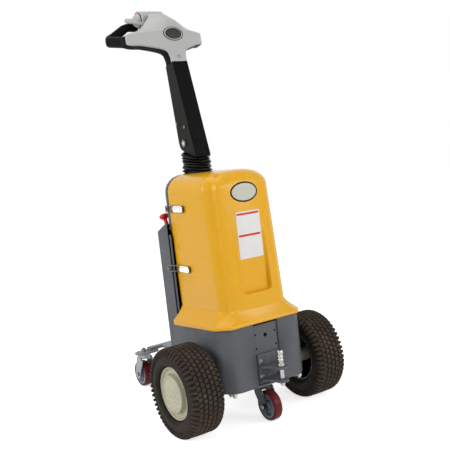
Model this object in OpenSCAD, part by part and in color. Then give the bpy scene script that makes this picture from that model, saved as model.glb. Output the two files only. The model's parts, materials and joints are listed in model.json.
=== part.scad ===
// Walk-behind electric tugger: two driven turf wheels, a moulded battery hood on a folded steel base,
// a tiller with a looped control head, a pin hitch in front, and three swivel casters.
// Millimetres. X runs across, the hitch faces -Y, the operator stands at +Y, Z is up from the floor.
// Lengths named _y are measured from the drive axle, positive towards the operator.

/* [Drive wheels] */
// Outside radius of a drive tyre
tyre_r = 140; // [130:1:150]
// Width of a drive tyre
tyre_w = 112; // [100:1:118]
// Clear distance between the base's side and a drive tyre
wheel_gap = 24; // [20:1:40]
// Radius of the rim's outer lip
rim_r = 82; // [76:1:88]
// How far the rim's outer lip lies inside the tyre's face
rim_inset = 12; // [8:1:16]
// Radius of the drive shafts
shaft_r = 10; // [8:0.5:12]
// Outside radius of the axle tubes
axle_tube_r = 16; // [14:0.5:17]

/* [Base] */
// Width of the base across its side walls
base_w = 314; // [300:1:318]
// Front face of the base, ahead of the axle
base_front = 116; // [108:1:124]
// Rear face of the base, behind the axle
base_rear = 180; // [172:1:188]
// Height of the base's lower edge above the floor
base_bottom = 120; // [116:1:122]
// Height of the base's deck
base_top = 322; // [310:1:330]
// Size of the angled front corners
corner_cut = 37; // [28:1:44]
// Thickness of the base's steel sheet
sheet = 5; // [3:0.5:6]

/* [Column] */
// How far the rear column stands out past the hood's flank on each side
column_step = 17; // [10:1:30]
// Rear face of the column, behind the axle
column_rear = 247; // [235:1:260]
// Height of the column's rear shoulder
column_shoulder = 605; // [580:1:620]
// Rise of the column's sloping lid
column_lid_rise = 26; // [15:1:35]
// Thickness of the column's sheet
column_sheet = 3; // [2:0.5:5]
// Thickness of the back plate that the hood closes on
plate_t = 13; // [10:1:18]

/* [Hood] */
// Wall of the moulded hood
hood_wall = 5; // [3:0.5:7]
// Height of the hood's top
hood_top = 785; // [740:1:840]
// Height of the hood's rounded crown
crown_rise = 54; // [44:1:62]
// How far the crown rounds in from each side
crown_side = 68; // [50:1:76]
// How far the crown rounds in from the front
crown_front = 44; // [34:1:52]
// Half width of the hood just above its flared skirt
hood_waist = 124; // [121:1:130]
// Half width of the hood under its crown
hood_shoulder = 121; // [118:1:124]
// Front face of the hood just above its skirt, ahead of the axle
hood_waist_front = 107; // [102:1:112]
// Front face of the hood under its crown, ahead of the axle
hood_shoulder_front = 81; // [78:1:84]
// Height at which the skirt starts to flare
flare_top = 366; // [355:1:380]
// Height of the skirt's lower edge at the front
skirt_front_z = 320; // [314:1:326]
// Height of the skirt's lower edge at the rear
skirt_rear_z = 304; // [298:1:312]
// Size of the hood's angled front corners, across the width
hood_corner_x = 30; // [24:1:38]
// Size of the hood's angled front corners, front to back
hood_corner_y = 37; // [30:1:42]
// How far the hood's front face bows back towards its corners
hood_bow = 8; // [3:1:12]
// Half width of the recessed front panel
panel_half = 52; // [46:1:58]
// Height of the recessed panel's lower edge
panel_bottom = 408; // [396:1:420]
// Floor of the recessed panel, ahead of the axle
panel_floor = 86; // [84:1:90]
// Thickness of the rubber seal behind the hood
seal_t = 4; // [2:0.5:6]

/* [Tiller] */
// Height of the tiller's pivot above the hood's top
pivot_rise = 100; // [90:1:120]
// Pivot behind the axle
pivot_y = 189; // [184:1:194]
// Width of the tiller arm
arm_w = 58; // [54:1:62]
// Sheet thickness of the tiller arm
arm_sheet = 3; // [2:0.5:4]
// Length of the arm's front face from the pivot to the head
arm_rise = 270; // [250:1:290]
// Radius of the pivot pin
pivot_r = 8; // [6:0.5:10]
// Width of the post that carries the tiller
post_w = 34; // [30:1:35]
// Radius of the bellows at its foot
bellows_r = 53; // [48:1:56]
// Radius of the bellows at its top
bellows_top_r = 48; // [42:1:52]

/* [Control head] */
// Half width across the head's wings
wing_half = 145; // [135:1:155]
// How far the wings sweep back
wing_sweep = 60; // [45:1:70]
// Thickness of the head's upper shell
head_shell_t = 12; // [8:1:15]
// Thickness of the head's lower shell
head_lower_t = 24; // [18:1:30]
// Radius of the hand loops
grip_r = 14; // [12:0.5:16]
// Radius of the throttle barrel
throttle_r = 31; // [27:0.5:33]

/* [Hitch] */
// Hitch pin ahead of the axle
pin_y = 176; // [170:1:184]
// Radius of the hitch pin
pin_r = 7.5; // [6:0.5:9]
// Thickness of the hitch plates
jaw_t = 6; // [5:0.5:8]
// Underside of the lower hitch plate
jaw_low_z = 140; // [136:1:144]
// Clear height between the hitch plates
jaw_gap = 35; // [30:1:40]
// Half width of the hitch plates at the bracket
jaw_half = 40; // [34:1:44]
// Radius of the hitch plates' rounded nose
jaw_nose_r = 20; // [16:1:24]
// Spacing of the four spare hitch holes across the plate
hole_dx = 75; // [68:1:80]
// Spacing of the four spare hitch holes up the plate
hole_dz = 43; // [38:1:48]
// Radius of the four spare hitch holes
hole_r = 3.3; // [2.5:0.1:4.5]

/* [Casters] */
// Radius of a caster wheel
caster_r = 48; // [44:0.5:50]
// Width of a caster wheel
caster_w = 30; // [26:1:34]
// Offset from a caster's swivel to its wheel
trail = 24; // [18:1:28]
// Swivel of the front caster, ahead of the axle
front_stem_y = 72; // [66:1:80]
// Swivels of the rear casters, out from the middle
rear_stem_x = 98; // [92:1:110]
// Swivels of the rear casters, behind the axle
rear_stem_y = 545; // [525:1:565]
// Height of the rear caster plates above the floor
tail_z = 128; // [124:1:134]

/* [Hidden] */
$fn = 64;

// Clearances: hole round a fixed bar, running fit, and soft piece from its seat
hole_gap = 0.3;
run_gap = 0.05;
seat_gap = 0.3;

axle_z = tyre_r;
track = base_w + 2 * wheel_gap + tyre_w;
pivot_z = hood_top + pivot_rise;
tail_reach = rear_stem_y + trail + caster_r;
nose_reach = pin_y + jaw_nose_r;
axle_y = (nose_reach - tail_reach) / 2;
cut = 1;

// Places everything from the axle's frame into the part's own, whose origin is under the box's middle
module place() {
    translate([0, axle_y, 0]) children();
}

module both_sides() {
    children();
    mirror([1, 0, 0]) children();
}

// A profile drawn as [y, z] and carried across X, centred
module across(width) {
    rotate([90, 0, 90]) translate([0, 0, -width / 2]) linear_extrude(width) children();
}

// A profile drawn as [x, z] and carried from front to rear
module along(front, rear) {
    translate([0, rear, 0]) rotate([90, 0, 0]) linear_extrude(rear - front) children();
}

module rounded_plate(w, h, r) {
    square([w - 2 * r, h], center = true);
    square([w, h - 2 * r], center = true);
    for (x = [-1, 1], y = [-1, 1])
        translate([x * (w / 2 - r), y * (h / 2 - r)]) circle(r);
}

// Outline round two circles and their outer tangents
module link(p, pr, q, qr) {
    steps = 20;
    t = atan2(q[1] - p[1], q[0] - p[0]);
    a = acos((pr - qr) / norm(q - p));
    round_p = [for (k = [0:steps]) let (w = t + a + (360 - 2 * a) * k / steps) p + pr * [cos(w), sin(w)]];
    round_q = [for (k = [0:steps]) let (w = t - a + 2 * a * k / steps) q + qr * [cos(w), sin(w)]];
    polygon(concat(round_p, round_q));
}

module rod(from, to, r) {
    v = to - from;
    translate(from)
        rotate([0, acos(v[2] / norm(v)), atan2(v[1], v[0])])
            cylinder(h = norm(v), r = r);
}

// A skin between rings that all have the same number of points, closed at both ends
module skin(rings) {
    n = len(rings[0]);
    last = len(rings) - 1;
    side = [for (i = [0:last - 1], j = [0:n - 1], k = [0, 1])
        let (a = i * n + j, b = i * n + (j + 1) % n)
        j < n / 2 ? (k == 0 ? [a, a + n, b] : [b, a + n, b + n])
                  : (k == 0 ? [a, a + n, b + n] : [a, b + n, b])];
    foot = [for (j = [0:n / 2 - 2], k = [0, 1])
        k == 0 ? [j, j + 1, n - 1 - j] : [j + 1, n - 2 - j, n - 1 - j]];
    lid = [for (f = foot) [f[2], f[1], f[0]] + last * n * [1, 1, 1]];
    polyhedron([for (r = rings) each r], concat(side, foot, lid));
}

// Three points of a soft corner at p, reaching back by d towards each neighbour
function soft_corner(a, p, b, d) =
    let (s = p + d * (a - p) / norm(a - p), e = p + d * (b - p) / norm(b - p))
    [for (t = [0, 1 / 3, 2 / 3, 1]) (1 - t) * (1 - t) * s + 2 * t * (1 - t) * p + t * t * e];

// Base
deck_t = sheet;
window_half = panel_half - 6;
window_sill = base_bottom + 6;
bend = 10;

caster_plate = [92, 76];
floor_margin = 4;

module base_outline(inset) {
    w = base_w / 2 - inset;
    c = corner_cut - inset * tan(22.5);
    side = [w, c - base_front];
    front = [w - c, inset - base_front];
    rear = [w, base_rear - inset];
    half = concat([rear], soft_corner(rear, side, front, bend), soft_corner(side, front, [0, front[1]], bend));
    polygon(concat(half, [for (i = [len(half) - 1:-1:0]) [-half[i][0], half[i][1]]]));
}

// Folded base: a ring of sheet with a deck on top, floors at front and rear, open under the drive unit
module base_shell() {
    front_floor = base_front - front_stem_y + caster_plate[1] / 2 + floor_margin;
    color("dimgray") difference() {
        translate([0, 0, base_bottom]) linear_extrude(base_top - base_bottom) base_outline(0);
        difference() {
            translate([0, 0, base_bottom - cut])
                linear_extrude(base_top - deck_t - base_bottom + cut) base_outline(sheet);
            translate([-base_w / 2, -base_front, base_bottom])
                cube([base_w, front_floor, sheet]);
            translate([-base_w / 2, base_rear - drive_rear_floor, base_bottom])
                cube([base_w, drive_rear_floor, sheet]);
        }
        translate([-window_half, -base_front - cut, window_sill])
            cube([2 * window_half, sheet + cut, base_top - deck_t - window_sill]);
        translate([-base_w, 0, axle_z]) rotate([0, 90, 0])
            cylinder(h = 2 * base_w, r = axle_tube_r + hole_gap);
    }
}

// Hitch
hitch_plate_t = 8;
plate_front = base_front - sheet;
bracket_t = 8;
bracket_low = jaw_low_z - 10;
bracket_high = jaw_low_z + 2 * jaw_t + jaw_gap + 34;
bracket_front = plate_front + bracket_t;
jaw_high_z = jaw_low_z + jaw_t + jaw_gap;
hole_mid_z = 260;
spare_bore_z = 275;
spare_bore_r = 6.5;
bolt_dx = 34;
bolt_zs = [jaw_low_z + 13.5, jaw_high_z + 19];
bolt_r = 4.2;

// Plate behind the base's window, with the spare hitch holes
module hitch_plate() {
    color("slategray") difference() {
        translate([-window_half - 12, -plate_front, window_sill])
            cube([2 * window_half + 24, hitch_plate_t, base_top - deck_t - window_sill]);
        for (x = [-1, 1], z = [-1, 1])
            translate([x * hole_dx / 2, 0, hole_mid_z + z * hole_dz / 2]) bore_y(hole_r);
        translate([0, 0, spare_bore_z]) bore_y(spare_bore_r);
        for (x = [-1, 1], z = bolt_zs)
            translate([x * bolt_dx, 0, z]) bore_y(bolt_r + hole_gap);
    }
}

module bore_y(r) {
    rotate([90, 0, 0]) cylinder(h = 2 * base_front, r = r);
}

module jaw_outline(bore) {
    difference() {
        union() {
            translate([0, -pin_y]) circle(jaw_nose_r);
            polygon([
                [-jaw_half, -bracket_front], [-jaw_half, -bracket_front - 12], jaw_tangent(-1),
                jaw_tangent(1), [jaw_half, -bracket_front - 12], [jaw_half, -bracket_front]
            ]);
        }
        translate([0, -pin_y]) circle(bore);
    }
}

// Where the jaw's slanting edge meets its round nose
function jaw_tangent(side) =
    let (dx = jaw_half, dy = pin_y - bracket_front - 12, d = norm([dx, dy]),
         a = atan2(dy, dx) + acos(jaw_nose_r / d))
    [side * jaw_nose_r * cos(a - 180) * -1, -pin_y - jaw_nose_r * sin(a - 180) * -1];

// Bolted bracket with an upper and a lower jaw plate
module hitch_bracket() {
    color("slategray") difference() {
        union() {
            translate([-jaw_half - 2, -bracket_front, bracket_low])
                cube([2 * jaw_half + 4, bracket_t, bracket_high - bracket_low]);
            for (z = [jaw_low_z, jaw_high_z])
                translate([0, 0, z]) linear_extrude(jaw_t) jaw_outline(pin_r + hole_gap);
        }
        for (x = [-1, 1], z = bolt_zs)
            translate([x * bolt_dx, 0, z]) bore_y(bolt_r + hole_gap);
    }
}

module hitch_bolts() {
    head_h = 6;
    color("silver") for (x = [-1, 1], z = bolt_zs)
        translate([x * bolt_dx, 0, z]) rotate([90, 0, 0]) {
            translate([0, 0, plate_front - hitch_plate_t])
                cylinder(h = hitch_plate_t + bracket_t + cut, r = bolt_r);
            translate([0, 0, bracket_front]) cylinder(h = head_h, r = 1.6 * bolt_r, $fn = 6);
        }
}

// Drop pin with a collar that rests on the upper jaw
module hitch_pin() {
    collar_z = jaw_high_z + jaw_t;
    pin_top = collar_z + 49;
    pin_low = jaw_low_z - 13;
    head_r = pin_r + 3.5;
    color("gainsboro") translate([0, -pin_y, 0]) rotate_extrude() polygon([
        [0, pin_low], [pin_r - 2, pin_low], [pin_r, pin_low + 3], [pin_r, collar_z], [pin_r + 4, collar_z],
        [pin_r + 4, collar_z + 7], [pin_r, collar_z + 10], [pin_r, pin_top - 15], [head_r, pin_top - 12],
        [head_r, pin_top - 1], [head_r - 3, pin_top + 2], [0, pin_top + 2]
    ]);
}

// Fixing bolts that show under the base's front corners
module base_bolts() {
    spread = 22;
    color("silver") both_sides() for (step = [0, 1])
        translate([base_w / 2 - 32, corner_cut - base_front + 4 - step * spread, 0]) {
            translate([0, 0, base_bottom - 16]) cylinder(h = 16, r = 5);
            translate([0, 0, base_bottom - 11]) cylinder(h = 11, r = 8.5, $fn = 6);
        }
}

// Column
column_w = 2 * (hood_shoulder + column_step);
plate_rear = base_rear + plate_t;
column_low = base_bottom + 8;
lid_top = column_shoulder + column_lid_rise;

module column_profile(inset) {
    polygon([
        [base_rear - (inset > 0 ? cut : 0), column_low + inset], [column_rear - inset, column_low + inset],
        [column_rear - inset, column_shoulder - inset * 0.8], [plate_rear, lid_top - inset * 1.1],
        [base_rear - (inset > 0 ? cut : 0), lid_top - inset * 1.1]
    ]);
}

// Channel of folded sheet behind the back plate, with a sloping lid
module column_box() {
    color("dimgray") difference() {
        across(column_w) column_profile(0);
        across(column_w - 2 * column_sheet) column_profile(column_sheet);
        translate([-column_w / 2 + column_sheet, base_rear - cut, column_low + column_sheet])
            cube([column_w - 2 * column_sheet, plate_t + cut, hood_top]);
    }
}

plate_half = column_w / 2 - column_sheet;
foot_plate_t = 8;
foot_plate_z = hood_top - 16;
foot_y = pivot_y - 17;

// The hood's outline from behind, as [x, z], set in by a margin
module arch(margin) {
    w = hood_shoulder - margin;
    half = [for (a = [0:15:90])
        [w - (crown_side - margin) * (1 - cos(a)), crown_z + (crown_rise - margin) * sin(a)]];
    polygon(concat([[-w, base_top], [w, base_top]], half, [for (i = [len(half) - 1:-1:0]) [-half[i][0], half[i][1]]]));
}

// Back plate with rounded shoulders and a seat for the post's foot
module back_plate() {
    color("dimgray") difference() {
        along(base_rear, plate_rear) {
            translate([-plate_half, column_low + column_sheet])
                square([2 * plate_half, lid_top - 12 - column_low - column_sheet]);
            arch(0);
        }
        translate([0, foot_y, foot_plate_z]) cylinder(h = 2 * hood_top, r = bellows_r + 2);
    }
}

// Hood
hood_rear = base_rear - seal_t;
skirt_gap = 1;
skirt_half = base_w / 2 + skirt_gap + hood_wall;
skirt_front = base_front + skirt_gap + hood_wall + 2;
crown_z = hood_top - crown_rise;
flare_low = base_top + 3;
skirt_bow = 1;

// One level of the hood: half width, front reach, bow and height, walked from rear left to rear right
function hood_ring(w, f, bow, z, rear) =
    let (bx = w - hood_corner_x, d = 9,
         rl = [-w, rear], al = [-w, hood_corner_y - f], bl = [-bx, bow - f], b = [bx, bow - f],
         a = [w, hood_corner_y - f], rr = [w, rear],
         front = [for (t = [-0.5, -0.15, 0.15, 0.5]) [bx * t, bow * t * t - f]])
    [for (p = concat([rl], soft_corner(rl, al, bl, d), soft_corner(al, bl, front[0], d), front,
                     soft_corner(front[3], b, a, d), soft_corner(b, a, rr, d), [rr])) [p[0], p[1], z]];

// The hood's levels: a concave flare, a tapered body and a rounded crown, all set in by the wall
function hood_rings(inset, rear, low) = concat(
    [hood_ring(skirt_half - inset, skirt_front - inset, skirt_bow, low, rear)],
    [for (t = [0:0.2:1]) let (k = pow(1 - t, 1.4))
        hood_ring(hood_waist + (skirt_half - hood_waist) * k - inset,
                  hood_waist_front + (skirt_front - hood_waist_front) * k - inset, hood_bow + (skirt_bow - hood_bow) * k,
                  flare_low + (flare_top - flare_low) * t, rear)],
    [for (a = [0:15:90]) let (k = 1 - cos(a))
        hood_ring(hood_shoulder - inset - (crown_side - inset) * k,
                  hood_shoulder_front - inset - (crown_front - inset) * k, hood_bow,
                  crown_z + (crown_rise - inset) * sin(a), rear)]
);

// Height at a share of the hood's straight flanks
function flank(share) = flare_top + share * (crown_z - flare_top);

// Rear edge of the hood as [y, z], from its top to its skirt
rear_edge = [
    [hood_rear, hood_top + 50], [hood_rear, flank(0.56)],
    [hood_rear - 13, flare_top + 4], [hood_rear - 15, skirt_rear_z - 30]
];

module panel_block(grow, floor_y) {
    top = crown_z - 46;
    along(-skirt_front - 20, -floor_y)
        translate([0, (panel_bottom + top) / 2])
            rounded_plate(2 * panel_half + 2 * grow, top - panel_bottom + 2 * grow, 12);
}

// Moulded hood, open behind and below, with a recessed front panel and a notch round the bellows
module hood() {
    low = skirt_rear_z - 8;
    color("goldenrod") difference() {
        skin(hood_rings(0, hood_rear, low));
        difference() {
            skin(hood_rings(hood_wall, hood_rear + 20, low - cut));
            panel_block(hood_wall, panel_floor - hood_wall);
        }
        panel_block(0, panel_floor);
        across(3 * base_w) polygon([
            [-skirt_front - 20, low - 20], [-skirt_front - 20, skirt_front_z],
            [hood_rear + 1, skirt_rear_z], [hood_rear + 1, low - 20]
        ]);
        across(3 * base_w) polygon(concat(rear_edge, [
            [hood_rear + cut, skirt_rear_z - 30], [hood_rear + cut, hood_top + 50]
        ]));
        translate([0, foot_y, foot_plate_z - 20]) cylinder(h = 100, r = bellows_r + 2);
    }
}

// Rubber strip between the hood's rear edge and the back plate
module hood_seal() {
    color([0.08, 0.08, 0.08]) difference() {
        along(hood_rear - 16, base_rear) difference() {
            arch(0.5);
            arch(9);
        }
        across(3 * base_w) polygon(concat(rear_edge, [
            [-hood_rear, skirt_rear_z - 30], [-hood_rear, hood_top + 50]
        ]));
        translate([0, foot_y, foot_plate_z - 20]) cylinder(h = 100, r = bellows_r + 2);
        translate([-base_w, 0, 0]) cube([2 * base_w, 2 * base_rear, flare_top]);
    }
}

// Draw latches on the hood's sides
latch_zs = [flank(0.33), flank(0.86)];
latch_h = 22;
lever_front = base_rear - 100;
lever_rear = base_rear - 28;
bail_rear = base_rear + 8;
wire_r = 1.8;
lever_t = 8;

// The face that a latch's keeper stands on
function latch_seat(z) = z > lid_top ? hood_shoulder : column_w / 2;

function hood_side(z) = hood_waist + (hood_shoulder - hood_waist) * (z - flare_top) / (crown_z - flare_top);

module latch_levers() {
    color("gainsboro") both_sides() for (z = latch_zs)
        translate([hood_side(z) + 0.4, (lever_front + lever_rear) / 2, z])
            rotate([90, 0, 90]) linear_extrude(lever_t)
                rounded_plate(lever_rear - lever_front, latch_h, 9);
}

// Wire loops from behind each lever to its keeper
module latch_bails() {
    reach = latch_h / 2 - wire_r;
    color("gainsboro") both_sides() for (z = latch_zs) {
        a = [hood_side(z) + lever_t, lever_rear + wire_r + seat_gap, z];
        b = [latch_seat(z) + 6 + wire_r, bail_rear, z];
        up = [0, 0, reach];
        for (s = [-1, 1]) rod(a + s * up, b + s * up, wire_r);
        for (p = [a, b]) {
            rod(p - up, p + up, wire_r);
            for (s = [-1, 1]) translate(p + s * up) sphere(wire_r + 0.1);
        }
    }
}

// Hooks on the plate's and the column's sides that the bails pull against
module latch_keepers() {
    lip = 2.4 * wire_r;
    color("silver") both_sides() for (z = latch_zs)
        translate([latch_seat(z), bail_rear - wire_r - seat_gap - lip, z - 6])
            cube([8 + 2 * wire_r, lip, 12]);
}

// What stands inside
battery_half = hood_shoulder - 16;
battery_front = hood_shoulder_front - 26;
battery_rear = base_rear - 30;
battery_h = 0.55 * (crown_z - base_top);

module battery_block() {
    color([0.15, 0.15, 0.16]) translate([-battery_half, -battery_front, base_top])
        cube([2 * battery_half, battery_front + battery_rear, battery_h]);
}

gearbox_half = 60;
gearbox_front = 44;
gearbox_rear = 52;
gearbox_low = axle_z - 14;
gearbox_high = axle_z + 78;
drive_rear_floor = 50;

// Gearbox round the axle, the motor behind it, and the hanger that bolts it to the deck
module drive_unit() {
    motor_r = 46;
    motor_l = 100;
    hanger_t = 40;
    color("gray") {
        translate([-gearbox_half, -gearbox_front, gearbox_low])
            cube([2 * gearbox_half, gearbox_front + gearbox_rear, gearbox_high - gearbox_low]);
        translate([0, gearbox_rear - cut, (gearbox_low + gearbox_high) / 2 + cut]) rotate([-90, 0, 0])
            cylinder(h = motor_l, r = motor_r);
        translate([-gearbox_half, -gearbox_front, gearbox_high - cut])
            cube([2 * gearbox_half, hanger_t, base_top - deck_t - gearbox_high + cut]);
    }
}

tube_end = track / 2 - tyre_w / 2 + 4;

module axle_tubes() {
    color("dimgray") both_sides() translate([gearbox_half, 0, axle_z]) rotate([0, 90, 0]) difference() {
        cylinder(h = tube_end - gearbox_half, r = axle_tube_r);
        translate([0, 0, -cut]) cylinder(h = base_w, r = shaft_r + run_gap);
    }
}

// Tail that carries the rear casters
tail_t = 12;
plate_thick = 6;
bar_z = tail_z + plate_thick;
cross_bar_w = 24;
cross_bar_half = rear_stem_x - 20;
stem_r = 10;

module tail_bar() {
    color("dimgray") translate([-25, column_rear, bar_z])
        cube([50, rear_stem_y - cross_bar_w / 2 - column_rear, tail_t]);
}

module tail_cross_bar() {
    color("dimgray") translate([-cross_bar_half, rear_stem_y - cross_bar_w / 2, bar_z])
        cube([2 * cross_bar_half, cross_bar_w, tail_t]);
}

// Rounded end plates, each with the caster's kingpin and its nut
module rear_caster_plates() {
    color("slategray") both_sides() translate([rear_stem_x, rear_stem_y, 0]) {
        translate([0, 0, tail_z]) linear_extrude(plate_thick)
            translate([-12, 0]) rounded_plate(92, 56, 26);
        kingpin(tail_z);
        translate([0, 0, bar_z]) cylinder(h = 10, r = 10, $fn = 6);
        translate([0, 0, bar_z]) cylinder(h = 15, r = 6);
    }
}

module kingpin(top) {
    translate([0, 0, top - 15]) cylinder(h = 15, r = stem_r);
}

module front_caster_plate() {
    color("dimgray") translate([0, -front_stem_y, 0]) {
        translate([0, 0, base_bottom - 4]) linear_extrude(4) rounded_plate(caster_plate[0], caster_plate[1], 8);
        kingpin(base_bottom - 4);
    }
}

// Red disconnect handle that stands on the column's sloping lid
module disconnect_knob() {
    knob_x = 32 - column_w / 2;
    cap_r = 16;
    knob_y = 0.66 * column_rear + 0.34 * plate_rear;
    lean = atan2(column_lid_rise, column_rear - plate_rear);
    base_z = column_shoulder + (column_rear - knob_y) * tan(lean);
    translate([knob_x, knob_y, base_z]) rotate([-lean, 0, 0]) {
        color([0.12, 0.12, 0.12]) translate([0, 0, seat_gap]) cylinder(h = 6, r = 12);
        color("crimson") {
            translate([0, 0, 6]) cylinder(h = 30, r = 6.5);
            translate([0, 0, 31]) cylinder(h = 7, r1 = 8, r2 = cap_r);
            translate([0, 0, 38]) cylinder(h = 10, r = cap_r);
        }
    }
}

// Tiller
arm_half = arm_w / 2;
pin_half = arm_half + 4;

// Foot plate, post and pivot eye that stand on the back plate
module tiller_post() {
    gusset_h = 90;
    gusset_reach = 22;
    color([0.1, 0.1, 0.1]) {
        difference() {
            union() {
                translate([0, foot_y, foot_plate_z]) cylinder(h = foot_plate_t, r = bellows_r);
                difference() {
                    across(post_w) link([foot_y + 2, foot_plate_z], 15, [pivot_y, pivot_z], 15);
                    translate([0, foot_y, foot_plate_z - 50]) cube(100, center = true);
                }
                for (x = [-1, 1]) translate([x * 20, 0, 0]) across(6)
                    polygon([
                        [plate_rear, foot_plate_z - gusset_h], [plate_rear, foot_plate_z + cut],
                        [plate_rear + gusset_reach, foot_plate_z + cut]
                    ]);
            }
            translate([-base_w, pivot_y, pivot_z]) rotate([0, 90, 0])
                cylinder(h = 2 * base_w, r = pivot_r + run_gap);
        }
    }
}

arm_foot_front = [-62, -48];
arm_foot_rear = [34, -20];
arm_top_front = [18, arm_rise];
arm_top_rear = [65, arm_rise - 9.4];
arm_open_z = 52;

function from_pivot(p) = [pivot_y + p[0], pivot_z + p[1]];

function between(a, b, t) = a + (b - a) * t;

// Box of folded sheet, deep at the foot, open behind the pivot so that it can swing back
module tiller_arm() {
    t = arm_sheet;
    color([0.16, 0.15, 0.14]) difference() {
        across(arm_w) polygon([for (p = concat(
            [arm_top_front, arm_foot_front], soft_corner(arm_foot_front, arm_foot_rear, arm_top_rear, 24), [arm_top_rear]
        )) from_pivot(p)]);
        across(arm_w - 2 * t) polygon([for (p = [
            arm_foot_front + [t, -2 * t], arm_foot_rear + [60, -2 * t],
            between(arm_foot_rear, arm_top_rear, 0.25) + [60, 0], between(arm_foot_rear, arm_top_rear, 0.25) - [t, 0],
            arm_top_rear - [t, t], arm_top_front + [t, -t]
        ]) from_pivot(p)]);
        translate([-base_w, pivot_y, pivot_z]) rotate([0, 90, 0])
            cylinder(h = 2 * base_w, r = pivot_r + hole_gap);
    }
}

// Pivot pin with its heads, and the small screws on the arm's sides
module arm_fasteners() {
    color("silver") {
        rod([-pin_half, pivot_y, pivot_z], [pin_half, pivot_y, pivot_z], pivot_r);
        for (s = [-1, 1]) {
            rod([s * (arm_half + 0.1), pivot_y, pivot_z], [s * (arm_half + 5), pivot_y, pivot_z], pivot_r + 4);
            for (p = [from_pivot([34, 67]), from_pivot([-12, 53])])
                rod([s * arm_half, p[0], p[1]], [s * (arm_half + 3), p[0], p[1]], 5);
        }
    }
}

// Bellows: alternating rings that lean over with the arm's foot
module bellows() {
    folds = 6;
    wall = 3;
    low = foot_plate_z + foot_plate_t + seat_gap;
    rise = 70;
    sides = 32;
    foot_tilt = atan2(arm_foot_rear[1] - arm_foot_front[1], arm_foot_rear[0] - arm_foot_front[0]);
    ring = function(i, r)
        let (t = i / (2 * folds), tilt = -foot_tilt * t,
             c = [0, foot_y + 3 * t, low + rise * t])
        [for (k = [0:sides - 1]) let (a = 360 * k / sides)
            c + [r * cos(a), r * sin(a) * cos(tilt), -r * sin(a) * sin(tilt)]];
    fold = 6;
    bellows_at = function(i) bellows_r + (bellows_top_r - bellows_r) * i / (2 * folds);
    color([0.07, 0.07, 0.07]) difference() {
        skin([for (i = [0:2 * folds]) ring(i, bellows_at(i) - (i % 2 == 0 ? fold : 0))]);
        skin([for (i = [-1, 2 * folds + 1]) ring(i, bellows_at(i) - fold - wall)]);
    }
}

// Control head: rows from the neck over the crest, as centre y and z from the pivot, half width,
// how far the sides sweep back, and the depths of the upper shell and of both shells
neck = [16, arm_rise + 0.8];
neck_depth = 48;
hump_depth = 3 * head_shell_t;
head_depth = head_shell_t + head_lower_t;
head_rows = [
    [neck[0], neck[1], arm_half, 0, head_shell_t, neck_depth],
    [neck[0] + 4.5, neck[1] + 22, arm_half + 1.5, 0, head_shell_t, neck_depth],
    [neck[0] + 9, neck[1] + 42, arm_half + 14, 3, head_shell_t, neck_depth - 2],
    [neck[0] + 13.5, neck[1] + 61, 0.7 * wing_half, 0.5 * wing_sweep, head_shell_t, head_depth + 4],
    [neck[0] + 16, neck[1] + 71, wing_half, wing_sweep, head_shell_t, head_depth],
    [neck[0] + 22, neck[1] + 101, wing_half, wing_sweep, head_shell_t, head_depth],
    [neck[0] + 26, neck[1] + 110, 0.8 * wing_half, 0.95 * wing_sweep, head_shell_t + 2, head_depth],
    [neck[0] + 31, neck[1] + 121, 0.6 * wing_half, 0.85 * wing_sweep, head_shell_t + 10, head_depth],
    [neck[0] + 45, neck[1] + 143, 0.44 * wing_half, 0.83 * wing_sweep, hump_depth - 4, hump_depth],
    [neck[0] + 79, neck[1] + 166, 0.26 * wing_half, 0.58 * wing_sweep, hump_depth, hump_depth],
    [neck[0] + 103, neck[1] + 176, 0.2 * wing_half, 0.33 * wing_sweep, hump_depth, hump_depth],
    [neck[0] + 124, neck[1] + 178, 0.18 * wing_half, 0.2 * wing_sweep, hump_depth - 6, hump_depth - 6]
];
lower_rows = 8;
row_normals = [for (i = [0:len(head_rows) - 1])
    let (a = head_rows[max(0, i - 1)], b = head_rows[min(len(head_rows) - 1, i + 1)],
         d = [b[0] - a[0], b[1] - a[1]])
    [d[1], -d[0]] / norm(d)];

// A point of the head: row i, share v of its half width, at a depth behind the upper face
function head_point(i, v, depth) =
    let (r = head_rows[i], n = row_normals[i])
    [v * r[2], pivot_y + r[0] + r[3] * v * v + n[0] * depth, pivot_z + r[1] + n[1] * depth];

// Depth at which a row's layers start: the upper face, the parting, the underside
function layer_depth(i, layer) = layer == 0 ? 0 : head_rows[i][3 + layer];

// One layer of the head over its first rows
module head_layer(count, layer) {
    steps = 12;
    skin([for (i = [0:count - 1]) concat(
        [for (k = [0:steps]) head_point(i, 2 * k / steps - 1, layer_depth(i, layer))],
        [for (k = [steps:-1:0]) head_point(i, 2 * k / steps - 1, layer_depth(i, layer + 1))]
    )]);
}

module head_shell() {
    color([0.75, 0.75, 0.75]) head_layer(len(head_rows), 0);
}

module head_lower() {
    color([0.1, 0.1, 0.1]) difference() {
        head_layer(lower_rows, 1);
        both_sides() rod(loop_start, loop_corner, grip_r + hole_gap);
    }
}

// Hand loop from the wing's end, round its outer corner and back to the throttle
module hand_loop() {
    difference() {
        union() {
            rod(loop_start, loop_corner, grip_r);
            translate(loop_corner) sphere(grip_r + 0.6);
            rod(loop_corner, loop_end, grip_r);
        }
        barrel(hole_gap);
    }
}

loop_start = [wing_half - 14, pivot_y + 60 + 0.85 * wing_sweep, pivot_z + 354];
loop_corner = [wing_half, pivot_y + 228, pivot_z + 380];
loop_end = [40, pivot_y + 213, pivot_z + 408];
barrel_half = 45;
barrel_at = [pivot_y + 187, pivot_z + 435];
thumb_r = throttle_r - 9;

module barrel(grow) {
    x = barrel_half + grow;
    rod([-x, barrel_at[0], barrel_at[1]], [x, barrel_at[0], barrel_at[1]], throttle_r + grow);
}

module grip_left() {
    color([0.06, 0.06, 0.06]) mirror([1, 0, 0]) hand_loop();
}

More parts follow.
